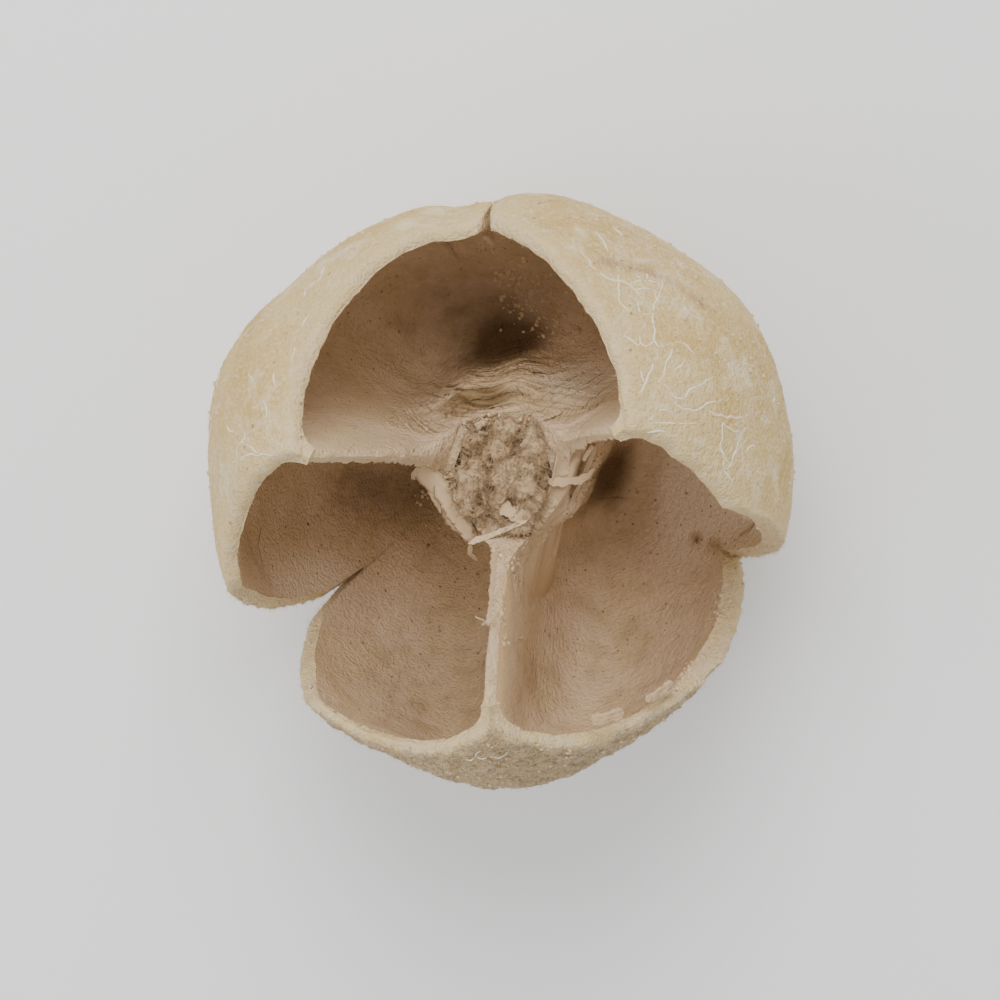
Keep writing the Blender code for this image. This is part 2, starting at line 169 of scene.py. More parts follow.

# Painted shade in the lining's hollows and a few dark holes, and painted light where the strength is below nought:
# middle and spread in pod radii, and strength
PAINTED_SHADE_AND_LIGHT_SPOTS = (
    ((0.00, 0.37, -0.56), (0.12, 0.12, 0.16), 0.95),
    ((-0.03, 0.42, -0.62), (0.36, 0.26, 0.36), 0.40),
    ((0.31, -0.10, -0.60), (0.15, 0.19, 0.30), 1.25),
    ((-0.36, -0.14, -0.72), (0.26, 0.17, 0.26), 0.50),
    ((-0.64, -0.10, -0.58), (0.18, 0.20, 0.20), 0.27),
    ((-0.22, -0.02, -0.30), (0.16, 0.12, 0.40), 0.40),
    ((-0.08, 0.30, -0.07), (0.22, 0.06, 0.08), 1.10),
    ((-0.25, 0.62, -0.55), (0.30, 0.20, 0.30), 0.08),
    ((-0.32, -0.72, -0.15), (0.42, 0.32, 0.60), 0.46),
    ((0.40, -0.70, -0.15), (0.40, 0.32, 0.60), 0.26),
    ((0.27, 0.32, -0.32), (0.20, 0.16, 0.26), -1.00),
    ((0.58, -0.20, -0.62), (0.30, 0.26, 0.32), -1.00),
    ((-0.70, -0.34, -0.30), (0.24, 0.18, 0.36), -0.60),
    ((0.55, 0.62, -0.10), (0.26, 0.22, 0.36), -0.55),
    ((0.78, -0.10, -0.20), (0.22, 0.20, 0.30), -0.55),
    ((0.598, -0.342, -0.532), (0.024, 0.024, 0.030), 1.20),
    ((0.657, -0.349, -0.463), (0.026, 0.024, 0.026), 0.90),
    ((0.684, -0.354, -0.426), (0.018, 0.018, 0.022), 0.90),
)

# The web sheet right of the column, in pod radii: its border beside the column, its free border and the way it faces
WEB_INNER = (
    (0.217, 0.135, 0.060), (0.189, 0.031, 0.052), (0.156, -0.054, 0.050), (0.116, -0.124, 0.010), (0.083, -0.180, -0.010),
    (0.056, -0.252, -0.015), (0.036, -0.372, -0.060), (-0.010, -0.515, -0.160))
WEB_OUTER = (
    (0.351, 0.137, 0.000), (0.303, 0.039, -0.040), (0.258, -0.034, -0.070), (0.203, -0.129, -0.140),
    (0.158, -0.228, -0.250), (0.114, -0.373, -0.370), (0.060, -0.500, -0.450), (-0.010, -0.600, -0.480))
WEB_FACING = (0.62, 0.10, 0.78)

# Crumb patches on the lining and the rim: middle in pod radii, spread and strength
CRUMB_SPOTS = (
    ((0.10, 0.56, -0.64), 0.085, 1.0),
    ((0.19, 0.49, -0.66), 0.060, 1.0),
    ((0.04, 0.63, -0.59), 0.070, 0.7),
    ((0.00, 0.78, -0.40), 0.045, 0.8),
    ((-0.27, 0.79, 0.44), 0.030, 0.9),
    ((0.37, -0.67, 0.53), 0.045, 1.0),
    ((0.44, -0.68, 0.44), 0.060, 0.5),
    ((0.60, -0.65, 0.11), 0.070, 0.4),
    ((0.70, -0.50, -0.20), 0.060, 0.6),
    ((0.02, -0.19, 0.13), 0.060, 1.0),
    ((0.02, -0.40, 0.42), 0.050, 0.35),
    ((0.27, -0.02, -0.20), 0.070, 0.3),
    ((0.06, -0.66, 0.74), 0.050, 0.3),
    ((-0.33, -0.17, -0.71), 0.070, 0.35),
)


def turned_from(azimuth, middle):
    """How far an azimuth is from another one, between -180 and 180 degrees"""
    return (azimuth - middle + 180.0) % 360.0 - 180.0


def hump(azimuth, middle, width, height):
    """A smooth rise, or a dip where the height is below nought, round one azimuth"""
    return height * np.exp(-(turned_from(azimuth, middle) / width) ** 2)


def grain(points, scale, seed, stretch=(1.0, 1.0, 1.0)):
    """Smooth noise at each point, drawn out along an axis where its stretch is small"""
    moved = np.asarray(points) * (np.array(stretch) * scale) + np.array([seed, 2.0 * seed, 3.0 * seed])
    return np.array([noise.noise(Vector(point)) for point in moved.tolist()])


def cells(points, scale, seed):
    """Distance to the nearest of scattered cell middles"""
    moved = np.asarray(points) * scale + seed
    return np.array([noise.voronoi(Vector(point))[0][0] for point in moved.tolist()])


def eased(value):
    """A smooth step from nought to one"""
    share = np.clip(value, 0.0, 1.0)
    return share * share * (3.0 - 2.0 * share)


def unit(vectors):
    """Vectors of length one"""
    return vectors / np.linalg.norm(vectors, axis=-1, keepdims=True)


def heading(azimuth, latitude):
    """Unit vectors from azimuths and latitudes"""
    turn = np.radians(azimuth)
    rise = np.radians(latitude)
    return np.stack([np.cos(rise) * np.cos(turn), np.cos(rise) * np.sin(turn), np.sin(rise)], axis=-1)


def upward(azimuth, latitude):
    """Unit vectors that point up the skin, towards the pod's pole"""
    return heading(azimuth, np.asarray(latitude) + 90.0)


def lobed_radius(azimuth, latitude):
    """Distance from the pod's middle to its smooth three-lobed form"""
    rise = LOBE_HEIGHT * np.cos(3.0 * np.radians(azimuth - VALVE_MIDDLES[0]))
    rise = rise + sum(hump(azimuth, *side) for side in SIDES)
    return 1.0 + rise * np.cos(np.radians(latitude)) ** 1.5


def outer_radius(azimuth, latitude):
    """Distance from the pod's middle to its skin, with a keel up each valve and a seam below each split"""
    rise = sum(hump(azimuth, middle, *KEEL) for middle in VALVE_MIDDLES)
    rise = rise + sum(hump(azimuth, split, *SEAM) for split in SPLITS)
    return lobed_radius(azimuth, latitude) + rise * np.cos(np.radians(latitude)) ** 1.5


def squashed(points):
    """The lower half, a little flatter than a ball"""
    result = points.copy()
    result[:, 2] = np.where(result[:, 2] < 0.0, result[:, 2] * LOWER_HALF_SQUASH, result[:, 2])
    return result


def lumpy_radius(azimuth, latitude):
    """Distance to the skin with its broad lumps"""
    return outer_radius(azimuth, latitude) + SKIN_LUMPS * grain(heading(azimuth, latitude), 4.0, 1.0)


def skin_points(azimuth, latitude):
    """Points of the outside"""
    return squashed(heading(azimuth, latitude) * lumpy_radius(azimuth, latitude)[:, None])


def whole_rim(azimuth):
    """Latitude of the rim before anything broke off it, with a bend of its own on each side of a tip"""
    turns = np.array([turned_from(azimuth, middle) for middle in VALVE_MIDDLES])
    nearest = np.argmin(np.abs(turns), axis=0)
    turn = np.take_along_axis(turns, nearest[None], axis=0)[0]
    climb = np.clip((60.0 - np.abs(turn) - RIM_LEVEL) / (60.0 - RIM_LEVEL), 0.0, 1.0)
    bend = np.array(RIM_BENDS)[nearest, (turn > 0.0).astype(int)]
    return RIM_LOW + (RIM_TIP - RIM_LOW) * climb ** bend


def wall_thickness(azimuth, latitude):
    """The wall is thicker towards the base, and thins to a lip towards the whole rim"""
    below = (whole_rim(azimuth) - latitude) / LIP_REACH
    thick = WALL + (WALL_AT_BASE - WALL) * eased(-latitude / 70.0)
    return thick - (WALL - WALL_AT_LIP) * eased(1.0 - below)


def inner_points(azimuth, latitude):
    """Points of the wall's inner face"""
    radius = lobed_radius(azimuth, latitude) - wall_thickness(azimuth, latitude)
    return squashed(heading(azimuth, latitude) * radius[:, None])


def rim_latitude(azimuth):
    """Latitude of the rim: three tips with low stretches between, and a broken notch at each split"""
    whole = whole_rim(azimuth)
    rim = np.minimum(whole, CRACK[1] + CRACK[2] * np.abs(turned_from(azimuth, CRACK[0])))
    for split, (foot, before, after) in zip(SPLITS, NOTCHES):
        turn = turned_from(azimuth, split)
        rim = np.minimum(rim, foot + np.where(turn < 0.0, -turn * before, turn * after))
    ragged = grain(heading(azimuth, np.zeros_like(azimuth)), 14.0, 5.0)
    broken = rim < whole - 1.0
    rim = rim + ragged * np.where(broken, BREAK_ROUGHNESS, RIM_ROUGHNESS)
    return rim + grain(heading(azimuth, np.zeros_like(azimuth)), 60.0, 6.0) * np.where(broken, 1.1, 0.25)


def broken_share(azimuth):
    """One on the broken flanks of the notches, nought on the whole rim"""
    return eased((whole_rim(azimuth) - rim_latitude(azimuth) - 1.0) / 5.0)


def rim_roll(azimuth):
    """Radius of the rim's rounded outer corner: wide on two valves, narrow on the third and on breaks"""
    third = eased((62.0 - np.abs(turned_from(azimuth, 270.0))) / 10.0)
    return (0.034 - 0.010 * third) * (1.0 - 0.45 * broken_share(azimuth))


def rim_ledge(azimuth):
    """How far the lining's edge has crumbled away below the lip"""
    third = eased((60.0 - np.abs(turned_from(azimuth, 272.0))) / 8.0)
    right = hump(azimuth, 312.0, 16.0, 0.038) + hump(azimuth, 238.0, 12.0, 0.016)
    torn = grain(heading(azimuth, np.zeros_like(azimuth)), 24.0, 16.0) * 0.5 + 0.5
    return (0.008 + right) * third * (0.55 + 0.9 * torn) + 0.012 * broken_share(azimuth) * torn


def chamber_azimuths(chamber):
    """Azimuths across a chamber, from one valve's middle to the next, crowded at its split"""
    split = SPLITS[chamber]
    before = split - VALVE_MIDDLES[chamber]
    steps = np.linspace(-1.0, 1.0, CHAMBER_SPANS + 1)
    reach = np.where(steps < 0.0, -before, 120.0 - before)
    return split + reach * np.abs(steps) ** CROWDING


def septum_line(middle):
    """Direction of a septum from the hub to its valve's middle, and the direction across it"""
    turn = np.radians(middle)
    along = np.array([SEPTUM_REACH * np.cos(turn) - HUB[0], SEPTUM_REACH * np.sin(turn) - HUB[1]])
    along = along / np.linalg.norm(along)
    return along, np.array([-along[1], along[0]])


def septum_half(height):
    """Half a septum's thickness, growing with depth"""
    return SEPTUM_HALF + (SEPTUM_HALF_DEEP - SEPTUM_HALF) * eased((0.5 - height) / 1.2)


def collar_radius(turn, height):
    """Radius of the middle column: a thin edge at the top, fluted and wider lower down"""
    depth = COLLAR_TOP - height
    shoulder = COLLAR_SHOULDER * eased(depth / 0.15) + COLLAR_FLARE * eased(depth / 0.8)
    lean = COLLAR_LEAN * np.sin(turn) * eased(depth / 0.25)
    return COLLAR_RADIUS + shoulder + lean + COLLAR_FLUTES * np.cos(turn * 9.0) * eased(depth / 0.1)


def smooth_max(first, second, blend):
    """The larger of two values, rounded where they are close"""
    near = np.maximum(blend - np.abs(first - second), 0.0) / blend
    return np.maximum(first, second) + near * near * blend * 0.25


def chamber_field(points, chamber):
    """Below nought inside a chamber, whose walls round into each other, more so deeper down"""
    x, y, z = points.T
    full = np.stack([x, y, np.where(z < 0.0, z / LOWER_HALF_SQUASH, z)], axis=-1)
    distance = np.linalg.norm(full, axis=1)
    azimuth = np.degrees(np.arctan2(y, x))
    latitude = np.degrees(np.arcsin(np.clip(full[:, 2] / distance, -1.0, 1.0)))
    wall = distance - lobed_radius(azimuth, latitude) + wall_thickness(azimuth, latitude)
    from_hub = np.stack([x - HUB[0], y - HUB[1]], axis=-1)
    first = septum_half(z) - from_hub @ septum_line(VALVE_MIDDLES[chamber])[1]
    second = septum_half(z) + from_hub @ septum_line(VALVE_MIDDLES[(chamber + 1) % 3])[1]
    turn = np.arctan2(from_hub[:, 1], from_hub[:, 0])
    column = collar_radius(turn, z) - np.linalg.norm(from_hub, axis=1)
    blend = FILLET_AT_MOUTH + (FILLET_DEEP - FILLET_AT_MOUTH) * eased((0.78 - z) / 1.2)
    field = smooth_max(wall, smooth_max(first, second, blend), blend)
    return smooth_max(field, column, blend * 0.5)


def chamber_axis(chamber):
    """Where the upright middle line of a chamber stands, seen from above"""
    turn = np.radians(VALVE_MIDDLES[chamber] + 60.0)
    return CHAMBER_HEART[0] * np.array([np.cos(turn), np.sin(turn)])


def cast(origins, rays, chamber):
    """Points where rays from inside a chamber meet its walls"""
    near = np.zeros(len(rays))
    far = np.full(len(rays), RAY_REACH)
    for _ in range(RAY_STEPS):
        middle = (near + far) / 2.0
        inside = chamber_field(origins + rays * middle[:, None], chamber) < 0.0
        near = np.where(inside, middle, near)
        far = np.where(inside, far, middle)
    return origins + rays * near[:, None]


def septum_edge(index, side):
    """Points down a septum's free edge, on one of its faces, from the valve's tip to the collar"""
    middle = VALVE_MIDDLES[index]
    along, across = septum_line(middle)
    tip = inner_points(np.array([middle]), rim_latitude(np.array([middle])))[0]
    reach = np.array([tip[0] - HUB[0], tip[1] - HUB[1]]) @ along
    share = np.linspace(0.0, 1.0, SEPTUM_SPANS + 1)
    distance = reach + (COLLAR_RADIUS - reach) * share
    height = tip[2] + (COLLAR_TOP - tip[2]) * share + SEPTUM_SAG[index] * np.sin(np.pi * share)
    height = height + 0.008 * grain(np.stack([distance, height, share], axis=-1), 12.0, 3.0 + index)
    bevel = 0.45 + 0.55 * eased((share - 0.55) / 0.4)
    offset = side * septum_half(height) * bevel
    plan = np.array(HUB) + distance[:, None] * along + offset[:, None] * across
    return np.column_stack([plan, height])


def collar_edge(chamber):
    """Points of the collar's top between two septa"""
    start = np.arctan2(*septum_line(VALVE_MIDDLES[chamber])[0][::-1])
    end = np.arctan2(*septum_line(VALVE_MIDDLES[(chamber + 1) % 3])[0][::-1])
    sweep = (end - start) % (2.0 * np.pi)
    turn = start + sweep * np.linspace(0.0, 1.0, COLLAR_SPANS + 1)[1:-1]
    around = np.stack([np.cos(turn), np.sin(turn), turn], axis=-1)
    height = COLLAR_TOP + COLLAR_RAGGED * grain(around, 2.5, 4.0)
    height = height + 0.022 * grain(around, 8.0, 18.0) + 0.012 * grain(around, 19.0, 19.0)
    radius = collar_radius(turn, height)
    return np.stack([HUB[0] + radius * np.cos(turn), HUB[1] + radius * np.sin(turn), height], axis=-1)


def base_height():
    """Height of the flat spot, in pod radii from the widest level"""
    return LOWER_HALF_SQUASH * np.sin(np.radians(BASE_LATITUDE))


def placed(points):
    """Points in metres, in the part's own frame, from points in pod radii"""
    return (np.asarray(points) - np.array([0.0, 0.0, base_height()])) * POD_RADIUS


class Skin:
    """Points, faces and surface marks of one mesh, as they are added"""

    # One of these marks carries painted shade, and painted light where it falls below nought
    MARKS = ("lining", "edge", "hollow", "fray", "crumbs", "coarse", "fibred", "course", "warm")

    def __init__(self):
        self.points = []
        self.faces = []
        self.marks = {name: [] for name in self.MARKS}

    def add(self, points, **marks):
        """Keep points with their marks, and return their numbers"""
        first = len(self.points)
        self.points.extend(np.asarray(points, dtype=float).tolist())
        count = len(self.points) - first
        for name, kept in self.marks.items():
            value = marks.get(name, 0.0)
            kept.extend(np.broadcast_to(np.asarray(value, dtype=float), (count,)).tolist())
        return list(range(first, len(self.points)))

    def strip(self, upper, lower, closed=False):
        """Faces between two rows of points"""
        count = len(upper)
        for index in range(count if closed else count - 1):
            following = (index + 1) % count
            self.faces.append((upper[index], upper[following], lower[following], lower[index]))

    def fan(self, ring, tip):
        """Faces from a closed row of points to one point"""
        for index, corner in enumerate(ring):
            self.faces.append((corner, ring[(index + 1) % len(ring)], tip))

    def open_fan(self, row, tip):
        """Faces from a row of points to one point"""
        for first, second in zip(row, row[1:]):
            self.faces.append((first, second, tip))

    def build(self, name, relief=None):
        """A smooth mesh of these faces at real size, raised along its normals by its relief"""
        mesh = bpy.data.meshes.new(name)
        mesh.from_pydata(placed(self.points).tolist(), [], self.faces)
        shape = bmesh.new()
        shape.from_mesh(mesh)
        bmesh.ops.recalc_face_normals(shape, faces=shape.faces)
        shape.to_mesh(mesh)
        shape.free()
        for mark, values in self.marks.items():
            mesh.attributes.new(mark, "FLOAT", "POINT").data.foreach_set("value", np.array(values, np.float32))
        if relief is not None:
            normals = np.zeros(len(mesh.vertices) * 3, np.float32)
            mesh.vertex_normals.foreach_get("vector", normals)
            raised = np.array(self.points) + normals.reshape(-1, 3) * relief(self)[:, None]
            raised[:, 2] = np.maximum(raised[:, 2], base_height())
            mesh.vertices.foreach_set("co", placed(raised).astype(np.float32).ravel())
            mesh.update()
        mesh.shade_smooth()
        return mesh


def add_piece(name, mesh, material=None):
    """An object of a mesh, with a material"""
    if material is not None:
        mesh.materials.clear()
        mesh.materials.append(material)
    item = bpy.data.objects.new(name, mesh)
    bpy.context.scene.collection.objects.link(item)
    return item


def take_home(item, slot, *nodes):
    """Let a finished piece ride on the pod, in the place of its solids"""
    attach(item, "root")
    if nodes:
        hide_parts(*nodes)


def chamber_mouth(chamber, azimuth):
    """Where a chamber's mouth lies, as points on its walls: along the rim, down a septum, round and up"""
    ledge = np.degrees(rim_ledge(azimuth))
    wall = inner_points(azimuth, rim_latitude(azimuth) - ledge)
    down = septum_edge((chamber + 1) % 3, -1.0)
    wall[-1] = down[0]
    up = septum_edge(chamber, 1.0)
    wall[0] = up[0]
    around = collar_edge(chamber)[::-1]
    return np.concatenate([wall, down[1:], around, up[:0:-1]])


def painted_shade_share(points):
    """Painted shade at points, growing from nought at the mouth to one in the deepest pit, with the spots of painted
    shade and painted light added
    """
    depth = eased((0.45 - points[:, 2]) / 1.35)
    dark = sum(
        strength * np.exp(-np.sum(((points - np.array(middle)) / np.array(spread)) ** 2, axis=1))
        for middle, spread, strength in PAINTED_SHADE_AND_LIGHT_SPOTS)
    return np.clip(0.12 * depth + dark, -1.0, 1.0)


def fibred_share(points):
    """How plainly level fibres show on the column's back, under its collar"""
    from_hub = np.linalg.norm(points[:, :2] - np.array(HUB), axis=1)
    back = eased((points[:, 1] - 0.08) / 0.14) * eased((0.50 - from_hub) / 0.16)
    return back * eased((0.10 - points[:, 2]) / 0.08) * eased((points[:, 2] + 0.60) / 0.30)


def warm_share(points):
    """How warm the colour is, in a stripe just beside one septum's free edge"""
    first, second = np.array([0.030, -0.270, 0.330]), np.array([0.024, -0.600, 0.640])
    share = np.clip((points - first) @ (second - first) / ((second - first) @ (second - first)), 0.0, 1.0)
    away = np.linalg.norm(points - first - share[:, None] * (second - first), axis=1)
    return np.exp(-(away / 0.11) ** 2) * (points[:, 0] > HUB[0] - 0.01)


def fibre_course(points):
    """Level lines that sink towards both sides of the column, for its fibres to follow"""
    return points[:, 2] + 3.2 * points[:, 0] ** 2


def crumb_share(points):
    """How thickly crumbs lie on points"""
    share = np.zeros(len(points))
    for middle, spread, strength in CRUMB_SPOTS:
        away = np.linalg.norm(points - np.array(middle), axis=1)
        share = np.maximum(share, strength * np.exp(-(away / spread) ** 2))
    return share


def add_chamber(skin, chamber, azimuth):
    """Add a chamber's lining, and return its mouth as rim, end septum, collar and start septum"""
    axis = chamber_axis(chamber)
    mouth = chamber_mouth(chamber, azimuth)
    outward = unit(mouth[:, :2] - axis)
    heart = np.minimum(mouth[:, 2], CHAMBER_HEART[1])
    rimward = np.where(np.arange(len(mouth)) <= CHAMBER_SPANS, 0.8, 0.05)
    rows = []
    for share in np.linspace(0.0, 1.0, CHAMBER_ROWS + 1)[:-1]:
        dip = share * np.pi / 2.0
        height = mouth[:, 2] + (heart - mouth[:, 2]) * share
        origins = np.column_stack([np.tile(axis, (len(mouth), 1)), height])
        rays = np.column_stack([outward * np.cos(dip), np.full(len(mouth), -np.sin(dip))])
        points = cast(origins, rays, chamber)
        below = np.linalg.norm(points - mouth, axis=1)
        # The lining carries painted shade, darker deeper down and in the listed spots, and painted light where those
        # spots fall below nought
        rows.append(skin.add(
            points, lining=1.0, edge=rimward * np.exp(-below / 0.022), hollow=painted_shade_share(points),
            fray=0.5 * (below < 0.006), crumbs=crumb_share(points), fibred=fibred_share(points),
            course=fibre_course(points), warm=warm_share(points)))
    for upper, lower in zip(rows, rows[1:]):
        skin.strip(upper, lower, closed=True)
    below = cast(np.array([[*axis, CHAMBER_HEART[1]]]), np.array([[0.0, 0.0, -1.0]]), chamber)
    skin.fan(rows[-1], skin.add(below, lining=1.0, hollow=painted_shade_share(below))[0])
    loop = rows[0]
    rim = loop[:CHAMBER_SPANS + 1]
    down = [rim[-1]] + loop[CHAMBER_SPANS + 1:CHAMBER_SPANS + 1 + SEPTUM_SPANS]
    around = loop[CHAMBER_SPANS + 1 + SEPTUM_SPANS:-SEPTUM_SPANS]
    up = [rim[0]] + loop[:-SEPTUM_SPANS - 1:-1]
    return rim, down, around, up


def coarse_share(azimuth):
    """One on the rough lower face of one valve, which is also coloured greyer and darker, partly weathering and partly
    painted shade, nought on the smooth rest
    """
    return eased((64.0 - np.abs(turned_from(azimuth, 270.0))) / 24.0)


def add_outside(skin, azimuth):
    """Add the skin from the base up, rolled over the lip, and return the row nearest the inner edge"""
    rim = rim_latitude(azimuth)
    roll = rim_roll(azimuth)
    broken = broken_share(azimuth)
    start = rim - np.degrees(roll)
    rows = []
    for share in np.linspace(1.0, 0.0, OUTSIDE_ROWS + 1)[:-1]:
        points = skin_points(azimuth, start + (BASE_LATITUDE - start) * share)
        if share == 1.0:
            points[:, 2] = base_height()
        below = np.radians(start - BASE_LATITUDE) * share + roll
        coarse = coarse_share(azimuth)
        latitude = start + (BASE_LATITUDE - start) * share
        clear = eased((points[:, 2] - base_height() - 0.08) / 0.12)
        rows.append(skin.add(
            points, edge=np.exp(-below / 0.050), fray=clear * (0.05 + 0.16 * coarse), coarse=coarse,
            crumbs=clear * (0.008 + 0.08 * coarse * eased(grain(points, 7.0, 41.0) * 2.5)),
            warm=np.exp(-(near_line(azimuth, latitude, CREASE) / 1.1) ** 2)))
    out = heading(azimuth, rim)
    up = upward(azimuth, rim)
    outer = lumpy_radius(azimuth, rim)
    thick = outer - lobed_radius(azimuth, rim) + wall_thickness(azimuth, rim)
    for angle in np.linspace(0.0, np.pi / 2.0, ROLL_STEPS + 1):
        radius = outer - roll * (1.0 - np.cos(angle))
        rise = -roll * (1.0 - np.sin(angle))
        points = squashed(out * radius[:, None] + up * rise[:, None])
        rows.append(skin.add(
            points, edge=0.55 + 0.45 * np.sin(angle), lining=0.35 * broken, fray=0.06 + broken,
            crumbs=0.05 * broken, coarse=0.5 * coarse_share(azimuth) * np.cos(angle)))
    ledge = rim_ledge(azimuth)
    for share in np.linspace(0.0, 1.0, EDGE_STEPS + 1)[1:-1]:
        radius = outer - roll - (thick - roll) * share
        points = squashed(out * radius[:, None] - up * (ledge * share ** 1.5)[:, None])
        crumbling = eased(ledge / 0.03) * 0.10 + 0.06 * broken
        rows.append(skin.add(
            points, edge=1.0 - 0.3 * share, lining=0.15 * share + 0.45 * broken, fray=0.05 + broken,
            crumbs=np.maximum(crumbling * share, crumb_share(points))))
    for lower, upper in zip(rows, rows[1:]):
        skin.strip(upper, lower, closed=True)
    add_stalk_scar(skin, rows[0])
    return rows[-1]


def add_stalk_scar(skin, ring):
    """Add the flat spot it rests on, with the shallow scar of the stalk in its middle"""
    edge = np.array([skin.points[number] for number in ring])
    middle = edge.mean(axis=0)
    above = ring
    for share in np.linspace(1.0, 0.0, SCAR_ROWS + 1)[1:-1]:
        points = middle + (edge - middle) * share
        rim = np.exp(-((share - 0.55) / 0.12) ** 2) * 0.6
        points[:, 2] = base_height() + 0.020 * eased((0.5 - share) / 0.3) + 0.001
        # Painted shade on the flat spot it rests on and in the stalk scar
        row = skin.add(points, lining=0.4 * eased((0.7 - share) / 0.3), edge=rim, hollow=0.4)
        skin.strip(above, row, closed=True)
        above = row
    middle[2] = base_height() + 0.021
    skin.fan(above, skin.add([middle], lining=0.4, hollow=0.5)[0])


def add_septum_edge(skin, before, after, number):
    """Add the rounded free edge between a septum's faces, and return its rows from one face to the other"""
    first = np.array([skin.points[point] for point in before])
    second = np.array([skin.points[point] for point in after])
    share = np.linspace(0.0, 1.0, len(before))
    worn = grain(np.column_stack([first[:, :2], share]), 30.0, 40.0 + number)
    rows = [before]
    for across, lift, bright in ((0.24, 0.014, 0.05), (0.5, 0.032, 0.85), (0.76, 0.014, 0.05)):
        points = first + (second - first) * across
        points[:, 2] += lift + 0.004 * worn
        tip = np.exp(-share / 0.08)
        rows.append(skin.add(
            points, edge=bright * eased(1.25 - share) + (0.6 - 0.5 * bright) * tip, lining=1.0 - 0.8 * tip,
            fray=0.25 + 0.75 * eased((share - 0.3) / 0.25),
            crumbs=0.12 * eased((share - 0.45) / 0.3) * (number == 2)))
    rows.append(after)
    for left, right in zip(rows, rows[1:]):
        skin.strip(left, right)
    return rows


def add_socket(skin, collar):
    """Add the collar's torn top and the round socket inside it"""
    edge = np.array([skin.points[number] for number in collar])
    turn = np.arctan2(edge[:, 1] - HUB[1], edge[:, 0] - HUB[0])
    ring = np.array(HUB) + SOCKET_RADIUS * np.stack([np.cos(turn), np.sin(turn)], axis=-1)
    above = collar
    for share in (0.33, 0.66):
        points = edge + (np.column_stack([ring, edge[:, 2]]) - edge) * share
        points[:, 2] += 0.022 * grain(points, 26.0, 17.0)
        row = skin.add(points, lining=1.0, edge=0.10, hollow=0.25, fray=1.0, crumbs=0.25)
        skin.strip(above, row, closed=True)
        above = row
    # Painted shade darkens the socket towards its floor
    for share in np.linspace(0.0, 1.0, SOCKET_ROWS + 1):
        height = edge[:, 2] + (SOCKET_FLOOR - edge[:, 2]) * share
        points = np.column_stack([ring, height])
        row = skin.add(points, lining=1.0, hollow=0.3 + 0.7 * eased(share * 4.0), fray=0.8 * (share < 0.1))
        skin.strip(above, row, closed=True)
        above = row
    skin.fan(above, skin.add([(HUB[0], HUB[1], SOCKET_FLOOR)], lining=1.0, hollow=1.0)[0])


def near_line(azimuth, latitude, line):
    """Distance in degrees from each point to a line of azimuths and latitudes"""
    place = np.column_stack([turned_from(azimuth, line[0][0]) * np.cos(np.radians(latitude)), latitude])
    best = np.full(len(place), 1e9)
    for first, second in zip(line, line[1:]):
        a = np.array([turned_from(first[0], line[0][0]) * np.cos(np.radians(first[1])), first[1]])
        b = np.array([turned_from(second[0], line[0][0]) * np.cos(np.radians(second[1])), second[1]])
        share = np.clip((place - a) @ (b - a) / ((b - a) @ (b - a)), 0.0, 1.0)
        best = np.minimum(best, np.linalg.norm(place - a - share[:, None] * (b - a), axis=1))
    return best


def skin_relief(points):
    """Height of the outside's fine lumps, coarse on the lower face of one valve, with one crease"""
    azimuth = np.degrees(np.arctan2(points[:, 1], points[:, 0]))
    latitude = np.degrees(np.arcsin(np.clip(points[:, 2] / np.linalg.norm(points, axis=1), -1.0, 1.0)))
    height = 0.0034 * grain(points, 9.0, 11.0) + 0.0030 * grain(points, 24.0, 12.0)
    height = height + 0.0032 * grain(points, 55.0, 13.0, (1.0, 1.0, 0.7))
    coarse = eased((70.0 - np.abs(turned_from(azimuth, 270.0))) / 25.0)
    height = height + coarse * (0.011 * grain(points, 13.0, 14.0) + 0.010 * grain(points, 30.0, 15.0))
    height = height + coarse * 0.006 * grain(points, 62.0, 29.0, (0.6, 0.6, 1.3))
    crease = near_line(azimuth, latitude, CREASE)
    height = height - 0.006 * np.exp(-(crease / 0.55) ** 2)
    return height + 0.003 * np.exp(-((crease - 1.6) / 0.8) ** 2)


def lining_relief(points):
    """Height of the lining's undulations, its fibres round the column, and the rings round the deep pit"""
    height = 0.0050 * grain(points, 5.0, 21.0) + 0.0016 * grain(points, 20.0, 22.0)
    height = height + 0.0013 * grain(points, 52.0, 23.0)
    from_hub = np.linalg.norm(points[:, :2] - np.array(HUB), axis=1)
    near = eased((0.55 - from_hub) / 0.25) * eased((0.3 - points[:, 2]) / 0.25) * eased((points[:, 2] + 0.85) / 0.5)
    height = height + near * 0.013 * grain(points, 30.0, 24.0, (0.10, 0.10, 1.0))
    height = height + near * 0.006 * grain(points, 70.0, 25.0, (0.08, 0.08, 1.0))
    slit = np.exp(-((points[:, 2] + 0.085 + 0.02 * grain(points, 6.0, 26.0)) / 0.008) ** 2)
    back = eased((points[:, 1] - 0.2) / 0.06) * eased((0.42 - from_hub) / 0.1)
    height = height - 0.020 * slit * back * eased(grain(points, 5.0, 27.0) * 2.0 + 0.6)
    pit = np.linalg.norm((points - np.array([0.0, 0.37, -0.60])) / np.array([1.0, 0.62, 1.0]), axis=1)
    rings = np.sin((pit + 0.02 * grain(points, 7.0, 28.0)) * 62.0) * np.exp(-((pit - 0.26) / 0.12) ** 2)
    return height + 0.0030 * rings * (points[:, 1] > 0.15)


